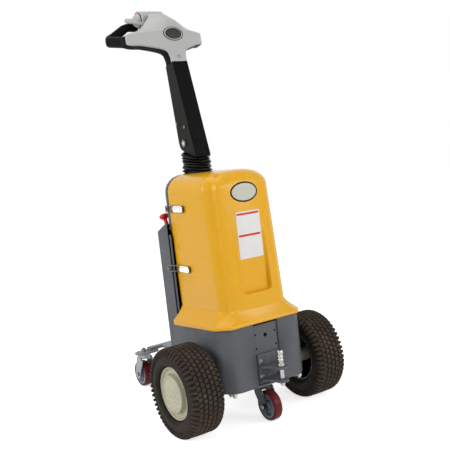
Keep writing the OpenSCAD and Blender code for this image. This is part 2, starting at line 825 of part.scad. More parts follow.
module grip_right() {
    color([0.06, 0.06, 0.06]) hand_loop();
}

// Barrel across the head with a round thumb wheel and a leaf-shaped paddle at each end
module throttle() {
    paddle_t = 7;
    color([0.7, 0.7, 0.71]) {
        barrel(0);
        both_sides() translate([barrel_half - 3, barrel_at[0], barrel_at[1]]) rotate([0, 90, 0]) sphere(thumb_r + 1);
        both_sides() translate([barrel_half - 1, barrel_at[0] - thumb_r, barrel_at[1] - thumb_r / 2])
            rotate([40, 0, 0]) translate([0, 0, -paddle_t / 2]) linear_extrude(paddle_t)
                link([0, 0], 12, [52, 18], 8);
    }
}

// Red cushion across the barrel's rear
module safety_button() {
    color("red") difference() {
        across(2 * barrel_half - 20) translate(barrel_at + [30, 14]) circle(24);
        barrel(seat_gap);
    }
}

// Drive wheels
bead_r = rim_r - 6;
barrel_t = 4;

module tyre() {
    h = tyre_w / 2;
    shoulder = 18;
    side = 22;
    lip = h - rim_inset - seat_gap;
    color([0.1, 0.1, 0.1]) rotate([0, 90, 0]) rotate_extrude($fn = 96) difference() {
        union() {
            translate([bead_r, shoulder - h]) square([tyre_r - bead_r, tyre_w - 2 * shoulder]);
            translate([bead_r + side, -h]) square([tyre_r - shoulder - bead_r - side, tyre_w]);
            for (s = [-1, 1]) {
                translate([tyre_r - shoulder, s * (h - shoulder)]) circle(shoulder);
                translate([bead_r + side, s * (h - side)]) circle(side);
            }
        }
        for (s = [-1, 1]) translate([0, s > 0 ? lip : -lip - h]) square([rim_r + seat_gap, h]);
    }
}

// Dished disc wheel: rolled lips, a drop barrel and a raised middle
module rim() {
    lip = tyre_w / 2 - rim_inset;
    dish_r = 0.68 * rim_r;
    hub_r = shaft_r + 12;
    crest = lip + rim_inset - 1;
    hub_end = tube_gap - tyre_w / 2;
    color("tan") rotate([0, 90, 0]) rotate_extrude($fn = 96) {
        translate([bead_r - barrel_t, -lip]) square([barrel_t - seat_gap, 2 * lip]);
        for (s = [-1, 1]) translate([bead_r - barrel_t, s > 0 ? lip : -lip - barrel_t])
            square([rim_r - bead_r + barrel_t, barrel_t]);
        polygon([
            [bead_r - 3, lip - 20], [dish_r + 4, lip - 16], [dish_r - 4, crest - 4], [dish_r - 8, crest],
            [0, crest], [0, crest - 4], [dish_r - 10, crest - 4], [dish_r - 7, crest - 7],
            [dish_r + 1, lip - 19], [bead_r - 3, lip - 24]
        ]);
        translate([shaft_r + run_gap, hub_end]) square([hub_r - shaft_r, crest - 2 - hub_end]);
    }
}

tube_gap = 12;

// Shaft that turns with a drive wheel inside the axle tube
module shaft() {
    inner = track / 2 - gearbox_half - 4;
    color("silver") translate([-inner, 0, 0]) rotate([0, 90, 0])
        cylinder(h = inner + tyre_w / 2 - 5, r = shaft_r);
}

module at_wheel(side) {
    translate([side * track / 2, 0, axle_z]) mirror([side < 0 ? 1 : 0, 0, 0]) children();
}

// Casters
leg_gap = 5;
leg_t = 4;
axle_r = 5;
tread_t = 9;

// Swivel fork whose kingpin hole is under a mounting plate at the given height
module fork(top, reach) {
    head = top - 16;
    leg_x = caster_w / 2 + leg_gap;
    crown_r = 24;
    difference() {
        union() {
            translate([0, 0, head]) cylinder(h = 16 - seat_gap, r = crown_r);
            translate([-leg_x - 2, -16, head]) cube([2 * leg_x + 4, 32, 4]);
            for (s = [-1, 1]) translate([s * (leg_x + leg_t / 2), 0, 0]) intersection() {
                across(leg_t) link([reach, caster_r], 17, [0, head - 8], 20);
                translate([-leg_t, -100, 0]) cube([2 * leg_t, 200, head + 5]);
            }
            rod([-leg_x - leg_t, reach, caster_r], [leg_x + leg_t, reach, caster_r], axle_r);
            for (s = [-1, 1])
                rod([s * (leg_x + leg_t - 1), reach, caster_r], [s * (leg_x + leg_t + 5), reach, caster_r], 8);
        }
        translate([0, 0, head - cut]) cylinder(h = 30, r = stem_r + run_gap);
    }
}

module caster_tread() {
    half = caster_w / 2;
    edge = 4;
    color("maroon") rotate([0, 90, 0]) rotate_extrude() {
        translate([caster_r - tread_t, -half]) square([tread_t - edge, caster_w]);
        translate([caster_r - tread_t, edge - half]) square([tread_t, caster_w - 2 * edge]);
        for (s = [-1, 1]) translate([caster_r - edge, s * (half - edge)]) circle(edge);
    }
}

module caster_hub() {
    half = caster_w / 2;
    felloe = caster_r - tread_t - seat_gap;
    color("lightslategray") rotate([0, 90, 0]) rotate_extrude() {
        translate([felloe - 6, 1 - half]) square([6, caster_w - 2]);
        translate([axle_r + run_gap, -4]) square([felloe - axle_r - run_gap, 8]);
        translate([axle_r + run_gap, -half - 3]) square([9, caster_w + 6]);
    }
}

module at_front_swivel() {
    translate([0, -front_stem_y, 0]) children();
}

module at_front_wheel() {
    translate([0, -front_stem_y - trail, caster_r]) children();
}

module at_rear_swivel(side) {
    translate([side * rear_stem_x, rear_stem_y, 0]) children();
}

module at_rear_wheel(side) {
    translate([side * rear_stem_x, rear_stem_y + trail, caster_r]) children();
}

place() base_shell();
place() hitch_plate();
place() hitch_bracket();
place() hitch_bolts();
place() hitch_pin();
place() base_bolts();
place() column_box();
place() back_plate();
place() hood();
place() hood_seal();
place() latch_levers();
place() latch_bails();
place() latch_keepers();
place() battery_block();
place() drive_unit();
place() axle_tubes();
place() tail_bar();
place() tail_cross_bar();
place() rear_caster_plates();
place() front_caster_plate();
place() disconnect_knob();
place() tiller_post();
place() bellows();
place() tiller_arm();
place() arm_fasteners();
place() head_shell();
place() head_lower();
place() grip_left();
place() grip_right();
place() throttle();
place() safety_button();
place() at_wheel(-1) tyre();  // left_tyre
place() at_wheel(-1) rim();  // left_rim
place() at_wheel(-1) shaft();  // left_shaft
place() at_wheel(1) tyre();  // right_tyre
place() at_wheel(1) rim();  // right_rim
place() at_wheel(1) shaft();  // right_shaft
place() at_front_swivel() color("dimgray") fork(base_bottom - 4, -trail);  // front_fork
place() at_front_wheel() caster_tread();  // front_tread
place() at_front_wheel() caster_hub();  // front_hub
place() at_rear_swivel(-1) color("silver") fork(tail_z, trail);  // rear_left_fork
place() at_rear_wheel(-1) caster_tread();  // rear_left_tread
place() at_rear_wheel(-1) caster_hub();  // rear_left_hub
place() at_rear_swivel(1) color("silver") fork(tail_z, trail);  // rear_right_fork
place() at_rear_wheel(1) caster_tread();  // rear_right_tread
place() at_rear_wheel(1) caster_hub();  // rear_right_hub
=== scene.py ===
import json
import math

import bmesh
import bpy
import numpy as np
from mathutils import Matrix, Vector


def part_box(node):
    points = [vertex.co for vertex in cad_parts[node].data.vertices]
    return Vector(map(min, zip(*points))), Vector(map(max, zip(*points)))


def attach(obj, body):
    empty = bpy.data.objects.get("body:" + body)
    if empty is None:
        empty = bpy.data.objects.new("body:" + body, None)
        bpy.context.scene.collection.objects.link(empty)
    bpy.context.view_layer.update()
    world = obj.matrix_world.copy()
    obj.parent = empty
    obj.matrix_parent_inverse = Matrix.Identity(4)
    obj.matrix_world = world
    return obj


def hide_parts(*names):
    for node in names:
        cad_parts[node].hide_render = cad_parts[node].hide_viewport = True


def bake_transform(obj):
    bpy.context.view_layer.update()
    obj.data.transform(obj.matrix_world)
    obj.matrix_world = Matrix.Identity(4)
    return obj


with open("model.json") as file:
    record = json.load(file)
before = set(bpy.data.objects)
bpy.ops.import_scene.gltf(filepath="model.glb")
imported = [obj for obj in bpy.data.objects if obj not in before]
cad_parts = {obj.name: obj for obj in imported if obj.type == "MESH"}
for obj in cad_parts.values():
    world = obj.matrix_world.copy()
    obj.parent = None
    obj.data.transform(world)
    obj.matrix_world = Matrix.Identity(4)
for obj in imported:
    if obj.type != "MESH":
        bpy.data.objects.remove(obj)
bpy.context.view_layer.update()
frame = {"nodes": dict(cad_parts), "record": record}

BODIES = {node: body for body, nodes in frame["record"]["behaviour"]["bodies"].items() for node in nodes}
SLOTS = {part["node"]: part["material_slot"] for part in frame["record"]["subparts"]}

# Millimetres from the drive axle, as the part's source measures: X across, Y towards the operator, Z up
AXLE_Y = -210.5
TYRE_R, TRACK_HALF = 140.0, 237.0
HOOD_TOP, CROWN_Z, CROWN_RISE = 785.0, 731.0, 54.0
SKIRT_HALF, SKIRT_FRONT, FLARE_LOW, FLARE_TOP = 163.0, 124.0, 325.0, 366.0
WAIST, SHOULDER, WAIST_FRONT, SHOULDER_FRONT = 124.0, 121.0, 107.0, 81.0
# Hood: bow of its front, angled corners and their hollow, what the crown draws in, corner rounds
HOOD_BOW, CORNER_X, CORNER_Y, HOLLOW = 8.0, 34.0, 46.0, 5.5
CROWN_IN, CROWN_BACK, TURN_LOW, TURN_TOP, NOTCH_R = 68.0, 44.0, 8.0, 14.0, 55.0
# Hood's skirt: height of its rim in front, how far rim and flare sink to the rear, nose and length
RIM_FRONT, RIM_FALL, SKIRT_DROP, SKIRT_NOSE, SKIRT_LONG = 320.0, 16.0, 3.5, 144.0, 321.0
PANEL_HALF, PANEL_LOW, PANEL_HIGH, PANEL_FLOOR, PANEL_ROUND = 52.0, 408.0, 685.0, 86.0, 12.0
TONGUE_LEVELS, TONGUE_RISE = (457, 558, 660), 3.2
BASE_HALF, BASE_CORNER, BASE_FRONT, BASE_REAR, BASE_LOW, BASE_TOP = 157.0, 37.0, -116.0, 180.0, 120.0, 322.0
WINDOW_HALF = 46.0
FOOT_Y, FOOT_Z = 172.0, 777.3
PIVOT_Y, PIVOT_Z = 189.0, 885.0
CASTER_R = 48.0
PIN_Y = -176.0
LATCH_LEVELS = (486.4, 679.9)
TURN = 2 * math.pi
ORIGIN, ACROSS, REARWARD, UP = (0, 0, 0), (1, 0, 0), (0, 1, 0), (0, 0, 1)


# Surfaces

def unit(v):
    """Vectors divided by their own lengths."""
    v = np.asarray(v, float)
    return v / np.linalg.norm(v, axis=-1, keepdims=True)


def ease(t):
    """Smooth step from 0 to 1: t squared times (3 - 2t), with t held between 0 and 1."""
    t = np.clip(t, 0, 1)
    return t * t * (3 - 2 * t)


def patch(points, wrap_cols=False, keep=None):
    """A grid of points and its quads: each quad joins a point, the next in its row, and the same two in the
    next row. keep is a mask over the quads."""
    rows, cols = points.shape[:2]
    i, j = np.meshgrid(np.arange(rows - 1), np.arange(cols - (not wrap_cols)), indexing="ij")
    down, right = i + 1, (j + 1) % cols
    quads = np.stack([i * cols + j, i * cols + right, down * cols + right, down * cols + j], -1)
    return points.reshape(-1, 3), quads[keep] if keep is not None else quads.reshape(-1, 4)


def soften(line, reach, steps=5):
    """Rounds a broken line: each inner corner p becomes the quadratic curve (1-t)^2 s + 2t(1-t) p + t^2 e,
    whose ends s and e lie reach along its two sides, and never past 0.45 of a side."""
    line = np.asarray(line, float)
    before, corner, after = line[:-2], line[1:-1], line[2:]
    back, on = before - corner, after - corner
    back_len, on_len = np.linalg.norm(back, axis=1), np.linalg.norm(on, axis=1)
    s = corner + back * (np.minimum(reach, 0.45 * back_len) / back_len)[:, None]
    e = corner + on * (np.minimum(reach, 0.45 * on_len) / on_len)[:, None]
    t = np.linspace(0, 1, steps)[None, :, None]
    curve = (1 - t) ** 2 * s[:, None] + 2 * t * (1 - t) * corner[:, None] + t * t * e[:, None]
    return np.concatenate([line[:1], curve.reshape(-1, line.shape[1]), line[-1:]])


def soften_loop(loop, reach, steps=5):
    """The same rounding for a closed outline."""
    loop = np.asarray(loop, float)
    return soften(np.concatenate([loop[-1:], loop, loop[:1]]), reach, steps)[1:-1]


def through(table, count):
    """Points on a smooth curve through a table's rows: Catmull-Rom, a cubic whose slope at each row is half
    the difference of its neighbours."""
    table = np.asarray(table, float)
    last = len(table) - 1
    place = np.linspace(0, last, count)
    k = np.minimum(place.astype(int), last - 1)
    t = (place - k)[:, None]
    a, b, c, d = (table[np.clip(k + o, 0, last)] for o in (-1, 0, 1, 2))
    return 0.5 * (2 * b + (c - a) * t + (2 * a - 5 * b + 4 * c - d) * t ** 2
                  + (3 * b - a - 3 * c + d) * t ** 3)


def revolve(profile, origin, axis, count=64):
    """A profile of [radius, distance] turned about an axis: origin + distance x axis + radius x ring."""
    profile = np.asarray(profile, float)
    axis = unit(axis)
    side = unit(np.cross(axis, [0.31, 0.52, 0.79]))
    turn = np.linspace(0, TURN, count, endpoint=False)[:, None]
    ring = np.cos(turn) * side + np.sin(turn) * np.cross(axis, side)
    radius, distance = profile[:, 0, None, None], profile[:, 1, None, None]
    return patch(np.asarray(origin, float) + distance * axis + radius * ring[None], wrap_cols=True)


def both_ways(half):
    """Half a profile and its mirror image along the axis."""
    return np.concatenate([half, (half * [1, -1])[-2::-1]])


def sweep(path, section):
    """A closed section of [across, up] carried along a path, square to it; each end closes on the path's own
    end. The section may be one outline or one for each point of the path."""
    path = np.asarray(path, float)
    section = np.broadcast_to(section, (len(path),) + np.shape(section)[-2:])
    along = unit(np.gradient(path, axis=0))
    across = unit(np.cross(along, [0, 0, 1]))
    lift = np.cross(across, along)
    points = path[:, None] + section[..., :1] * across[:, None] + section[..., 1:] * lift[:, None]
    ends = [np.repeat(path[k][None, None], section.shape[1], 1) for k in (0, -1)]
    return patch(np.concatenate([ends[0], points, ends[1]]), wrap_cols=True)


def oval(a, b, count=48, power=2.0):
    """A closed outline: the superellipse |x/a|^p + |y/b|^p = 1."""
    t = np.linspace(0, TURN, count, endpoint=False)
    sides = ((a, np.cos(t)), (b, np.sin(t)))
    return np.stack([half * np.sign(v) * np.abs(v) ** (2 / power) for half, v in sides], -1)


def rectangle(a, b, reach, steps=5):
    """A rectangle of half sizes a and b whose corners are rounded."""
    return soften_loop([[-a, -b], [a, -b], [a, b], [-a, b]], reach, steps)


def slab(outline, low, high, edge, origin, a, b):
    """A plate: an outline of [a, b] raised along a x b from low to high. Its rims are quarter rounds of size
    edge, and each face closes on the outline's middle."""
    outline = np.asarray(outline, float)
    along = np.roll(outline, -1, 0) - np.roll(outline, 1, 0)
    out = unit(np.stack([along[:, 1], -along[:, 0]], -1))
    if np.sum(out * (outline - outline.mean(0))) < 0:
        out = -out
    turn = np.linspace(0, math.pi / 2, 4)
    inset = np.concatenate([edge * (1 - np.sin(turn)), edge * (1 - np.sin(turn))[::-1]])
    level = np.concatenate([low + edge * (1 - np.cos(turn)), high - edge * (1 - np.cos(turn))[::-1]])
    rings = outline[None] - inset[:, None, None] * out[None]
    middle = np.broadcast_to(outline.mean(0), (1,) + outline.shape)
    flat = np.concatenate([middle, rings, middle])
    level = np.concatenate([[low], level, [high]])
    a, b = unit(a), unit(b)
    rise = level[:, None, None] * np.cross(a, b)
    return patch(np.asarray(origin, float) + flat[..., :1] * a + flat[..., 1:] * b + rise, wrap_cols=True)


def moved(shape, offset):
    """A shape with an offset added to its points."""
    return shape[0] + np.asarray(offset, float), shape[1]


def mirrored(shape):
    """A shape with X times -1; build turns its faces outwards again."""
    return shape[0] * [-1, 1, 1], shape[1]


def placed(name, data):
    """A new object in the scene."""
    thing = bpy.data.objects.new(name, data)
    bpy.context.scene.collection.objects.link(thing)
    return thing


def build(name, shapes, body, slot, replaces=(), finish=None, sharp=38, wall=None, coats=None):
    """Joins shapes into one mesh, merges seams and poles, turns faces outwards and gives it a finish, its
    slot's own if none is named. wall is a thickness in mm set inwards. coats is a second finish and, for each
    shape, 1 where that shape has it."""
    start = np.cumsum([0] + [len(p) for p, _ in shapes])
    points = (np.concatenate([p for p, _ in shapes]) + [0, AXLE_Y, 0]) / 1000
    quads = np.concatenate([q + s for (_, q), s in zip(shapes, start)])
    mesh = bpy.data.meshes.new(name)
    mesh.from_pydata(points.tolist(), [], quads.tolist())
    mesh.materials.append(finish or SLOT_FINISH[slot])
    if coats:
        mesh.materials.append(coats[0])
        mesh.polygons.foreach_set("material_index",
                                  np.repeat(coats[1], [len(q) for _, q in shapes]).astype(np.int32))
    work = bmesh.new()
    work.from_mesh(mesh)
    bmesh.ops.remove_doubles(work, verts=work.verts, dist=2e-5)
    bmesh.ops.dissolve_degenerate(work, dist=1e-6, edges=work.edges)
    bmesh.ops.recalc_face_normals(work, faces=work.faces)
    work.to_mesh(mesh)
    work.free()
    mesh.shade_smooth()
    mesh.set_sharp_from_angle(angle=math.radians(sharp))
    piece = placed(name, mesh)
    if wall:
        thick = piece.modifiers.new("wall", "SOLIDIFY")
        thick.thickness = wall / 1000
        thick.offset = -1
    if body:
        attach(piece, body)
    if replaces:
        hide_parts(*replaces)
    return piece


def dressed(name, finish, edge):
    """A copy of a plain solid with its triangles merged into faces and its edges rounded by edge in mm."""
    mesh = frame["nodes"][name].data.copy()
    mesh.name = name + "_dressed"
    work = bmesh.new()
    work.from_mesh(mesh)
    bmesh.ops.remove_doubles(work, verts=work.verts, dist=2e-5)
    bmesh.ops.dissolve_limit(work, angle_limit=math.radians(0.6), verts=work.verts, edges=work.edges)
    work.to_mesh(mesh)
    work.free()
    mesh.shade_smooth()
    mesh.set_sharp_from_angle(angle=math.radians(30))
    mesh.materials.clear()
    mesh.materials.append(finish)
    piece = placed(name + "_dressed", mesh)
    if edge:
        round_edges(piece, edge)
    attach(piece, BODIES[name])
    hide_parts(name)
    return piece


def round_edges(piece, width):
    """A live bevel, width in mm, on edges sharper than 35 degrees."""
    soft = piece.modifiers.new("edges", "BEVEL")
    soft.width = width / 1000
    soft.segments = 2
    soft.limit_method = "ANGLE"
    soft.angle_limit = math.radians(35)
    soft.harden_normals = False


# Finishes

def finish(name, colour, rough, mottle, grain, metal=0.0, swing=0.08, stretch=None, dust=None, scuff=None,
           speck=0.0, specular=0.5):
    """A material: one noise varies the colour, one the roughness by swing, and a fine one gives the bump.
    mottle and grain are strength and size in mm; dust is a colour, a share and a height in mm under which it
    settles; scuff is a colour and the noise level above which it shows; speck is how far the grain tints the
    colour."""
    mottle, mottle_mm = mottle
    grain, grain_mm = grain
    m = bpy.data.materials.new(name)
    m.use_nodes = True
    tree = m.node_tree
    link = tree.links.new
    shader = tree.nodes["Principled BSDF"]
    shader.inputs["Metallic"].default_value = metal
    shader.inputs["Specular IOR Level"].default_value = specular

    def node(kind, **values):
        """A new node with its properties."""
        n = tree.nodes.new(kind)
        for key, value in values.items():
            setattr(n, key, value)
        return n

    def noise(size_mm, detail=4.0):
        """Noise of a size in mm on the piece's own coordinates."""
        n = node("ShaderNodeTexNoise")
        n.inputs["Scale"].default_value = 1000 / size_mm
        n.inputs["Detail"].default_value = detail
        link(place, n.inputs["Vector"])
        return n.outputs["Fac"]

    def span(value, low, high, to_low, to_high):
        """A value's range carried to another, held at its ends."""
        n = node("ShaderNodeMapRange")
        for socket, v in zip(("From Min", "From Max", "To Min", "To Max"), (low, high, to_low, to_high)):
            n.inputs[socket].default_value = v
        link(value, n.inputs["Value"])
        return n.outputs["Result"]

    def mix(share, a, b):
        """Colour a where share is 0, b where it is 1."""
        n = node("ShaderNodeMix", data_type="RGBA")
        link(share, n.inputs[0])
        for socket, c in ((n.inputs[6], a), (n.inputs[7], b)):
            if isinstance(c, tuple):
                socket.default_value = (*c, 1)
            else:
                link(c, socket)
        return n.outputs[2]

    def product(a, b):
        """Two values multiplied."""
        n = node("ShaderNodeMath", operation="MULTIPLY")
        link(a, n.inputs[0])
        link(b, n.inputs[1])
        return n.outputs[0]

    spot = node("ShaderNodeTexCoord").outputs["Object"]
    place = spot
    if stretch:
        turn = node("ShaderNodeMapping")
        turn.inputs["Scale"].default_value = stretch
        link(spot, turn.inputs["Vector"])
        place = turn.outputs["Vector"]
    shade = tuple(c * (1 - mottle) for c in colour)
    light = tuple(min(1, c * (1 + mottle)) for c in colour)
    tone = mix(span(noise(mottle_mm), 0.3, 0.7, 0, 1), shade, light)
    sheen = span(noise(mottle_mm / 5), 0.3, 0.7, max(0.03, rough - swing), min(1, rough + swing))
    if speck:
        fleck = span(noise(grain_mm * 1.4, 2), 0.35, 0.65, 0, 1)
        tone = mix(fleck, tuple(c * (1 - speck) for c in colour), tone)
    if scuff:
        mark = span(product(noise(9, 8), noise(45, 2)), scuff[1], scuff[1] + 0.06, 0, 1)
        tone = mix(mark, tone, scuff[0])
    if dust:
        apart = node("ShaderNodeSeparateXYZ")
        link(spot, apart.inputs[0])
        low = span(apart.outputs["Z"], 0, dust[2] / 1000, dust[1], 0)
        tone = mix(product(low, span(noise(14, 6), 0.35, 0.75, 0, 1)), tone, dust[0])
    link(tone, shader.inputs["Base Color"])
    link(sheen, shader.inputs["Roughness"])
    bump = node("ShaderNodeBump")
    bump.inputs["Strength"].default_value = grain
    bump.inputs["Distance"].default_value = grain_mm / 2000
    link(noise(grain_mm, 3), bump.inputs["Height"])
    link(bump.outputs["Normal"], shader.inputs["Normal"])
    return m


SOIL = (0.10, 0.085, 0.065)
# Each: name, colour, roughness, mottle, grain, then what isn't as usual
hood_yellow = finish("moulded_yellow", (0.745, 0.378, 0.008), 0.24, (0.03, 90), (0.28, 3.6), swing=0.05,
                     specular=0.28, speck=0.06)
steel_grey = finish("painted_steel", (0.104, 0.110, 0.121), 0.46, (0.07, 120), (0.12, 1.6), swing=0.07,
                    dust=(SOIL, 0.35, 260), specular=0.12)
arm_black = finish("arm_paint", (0.018, 0.017, 0.0145), 0.45, (0.10, 80), (0.14, 1.4), specular=0.05)
# A black darker than the arm's paint, for the sheet on the arm's front face.
arm_front_darker_black = finish("arm_front_darker_sheet", (0.0055, 0.0055, 0.006), 0.5, (0.10, 60), (0.14, 1.4), specular=0.03)
black_plastic = finish("moulded_black", (0.003, 0.003, 0.0032), 0.40, (0.10, 60), (0.3, 0.9), specular=0.045)
black_rubber = finish("bellows_rubber", (0.006, 0.006, 0.006), 0.36, (0.15, 25), (0.2, 1.1), specular=0.2)
# Near-black rubber for the hood's seal. It also colours the strip that is painted shade in the gap over the
# hitch window.
seal_and_gap_shade = finish("seal_and_gap_shade", (0.004, 0.004, 0.004), 0.6, (0.15, 25), (0.25, 1.1), specular=0.04)
head_silver = finish("head_paint", (0.43, 0.43, 0.42), 0.40, (0.03, 70), (0.10, 1.5), specular=0.15)
red_plastic = finish("red_plastic", (0.60, 0.018, 0.014), 0.36, (0.06, 20), (0.08, 1.2), specular=0.3)
tyre_rubber = finish("tyre_rubber", (0.047, 0.037, 0.029), 0.72, (0.18, 38), (0.4, 1.6), swing=0.1,
                     dust=((0.13, 0.10, 0.075), 0.3, 300), scuff=((0.085, 0.062, 0.046), 0.30), specular=0.04)
# Carcass rubber for the sides and for the grooves between blocks, darker than the block tops. This is partly
# the sidewall's own tone and partly painted shade for the shaded inner sidewalls.
carcass_tone_and_shade = finish("sidewall_rubber_and_painted_shade", (0.021, 0.018, 0.0152), 0.5, (0.15, 38), (0.3, 1.6), swing=0.1,
                   dust=((0.10, 0.08, 0.06), 0.25, 300), specular=0.05)
rim_cream = finish("rim_enamel", (0.42, 0.392, 0.275), 0.27, (0.08, 26), (0.14, 2.4),
                   scuff=((0.28, 0.255, 0.18), 0.36), specular=0.4)
# Near-black for the back of the wheel disc and its barrel: painted shade for the wheel's shaded inside.
shaded_rim_black = finish("rim_inside_painted_shade", (0.010, 0.010, 0.010), 0.28, (0.1, 30), (0.1, 1.5), specular=0.4)
zinc = finish("zinc_plate", (0.27, 0.275, 0.265), 0.38, (0.14, 12), (0.16, 0.8), metal=1.0, swing=0.1)
bright_steel = finish("bright_steel", (0.38, 0.38, 0.37), 0.26, (0.05, 10), (0.06, 0.6), metal=1.0,
                      stretch=(1, 1, 0.2), swing=0.06)
tail_grey = finish("tail_paint", (0.24, 0.25, 0.255), 0.42, (0.08, 60), (0.12, 1.6), specular=0.25)
nut_zinc = finish("nut_zinc", (0.62, 0.62, 0.60), 0.3, (0.12, 6), (0.1, 0.7), metal=0.2)
latch_chrome = finish("latch_chrome", (0.88, 0.88, 0.86), 0.13, (0.04, 10), (0.05, 0.6), metal=1.0,
                      swing=0.05)
wire_dark = finish("wire_dark", (0.10, 0.10, 0.10), 0.3, (0.2, 6), (0.08, 0.6), metal=1.0)
worn_steel = finish("worn_steel", (0.20, 0.20, 0.20), 0.35, (0.2, 8), (0.12, 0.7), metal=1.0, swing=0.1)
cast_grey = finish("cast_housing", (0.17, 0.17, 0.17), 0.6, (0.15, 60), (0.5, 2.0), metal=0.4)
red_tread = finish("caster_tread", (0.115, 0.0125, 0.0135), 0.36, (0.15, 18), (0.1, 1.0),
                   dust=(SOIL, 0.5, 60), specular=0.12)
hub_grey = finish("caster_hub", (0.17, 0.20, 0.26), 0.45, (0.1, 15), (0.15, 1.0))
# Near-black for the front fork: painted shade for the fork in the base's shadow. Its light scuffs are wear.
fork_painted_shade_black = finish("fork_painted_shade_black", (0.012, 0.012, 0.0125), 0.34, (0.15, 20), (0.12, 1.2), specular=0.3,
                    scuff=((0.25, 0.25, 0.25), 0.42))
plate_white = finish("blank_plate", (0.70, 0.70, 0.69), 0.4, (0.025, 25), (0.05, 0.8), specular=0.2)
plate_silver = finish("blank_badge", (0.52, 0.51, 0.44), 0.35, (0.05, 14), (0.05, 0.7), specular=0.15)
plate_dark = finish("badge_field", (0.020, 0.022, 0.028), 0.3, (0.12, 12), (0.05, 0.7), specular=0.25)

SLOT_FINISH = {
    "steel_grey": steel_grey, "zinc": zinc, "hood_yellow": hood_yellow, "black_rubber": black_rubber,
    "red_tread": red_tread, "black_plastic": black_plastic, "cast_grey": cast_grey,
    "red_plastic": red_plastic, "arm_black": arm_black, "hub_grey": hub_grey, "head_silver": head_silver,
    "tyre_rubber": tyre_rubber, "rim_cream": rim_cream,
}
OWN_FINISH = {
    "hitch_pin": bright_steel, "base_bolts": nut_zinc, "latch_levers": latch_chrome, "latch_bails": wire_dark,
    "tail_bar": tail_grey, "tail_cross_bar": tail_grey, "rear_caster_plates": tail_grey,
    "front_caster_plate": zinc, "hood_seal": seal_and_gap_shade, "arm_fasteners": worn_steel,
    "front_fork": fork_painted_shade_black,
}
BARE = {node: OWN_FINISH.get(node, SLOT_FINISH[slot]) for node, slot in SLOTS.items()}
for name, material in BARE.items():
    solid = frame["nodes"][name]
    solid.data.materials.clear()
    solid.data.materials.append(material)

ROUNDED = {
    "hitch_plate": 0.6, "hitch_bracket": 0.8, "base_bolts": 0.5, "column_box": 1.6, "back_plate": 1.2,
    "hood_seal": 0, "latch_bails": 0, "latch_keepers": 0.5, "axle_tubes": 0.6, "tail_bar": 1,
    "tail_cross_bar": 1, "rear_caster_plates": 0.8, "front_caster_plate": 0.8, "tiller_post": 0.8,
    "tiller_arm": 1.2, "arm_fasteners": 0.6, "front_fork": 0.8, "rear_left_fork": 0.8, "rear_right_fork": 0.8,
}
for name, edge in ROUNDED.items():
    dressed(name, BARE[name], edge)


# Hood

def hood_front(z):
    """How far ahead of the axle the hood's front is at a height: a straight slope, then a quarter ellipse."""
    slope = WAIST_FRONT + (SHOULDER_FRONT - WAIST_FRONT) * (z - FLARE_TOP) / (CROWN_Z - FLARE_TOP)
    lift = np.clip((z - CROWN_Z) / CROWN_RISE, 0, 1)
    return np.where(z > CROWN_Z, SHOULDER_FRONT - CROWN_BACK * (1 - np.sqrt(1 - lift ** 2)), slope)


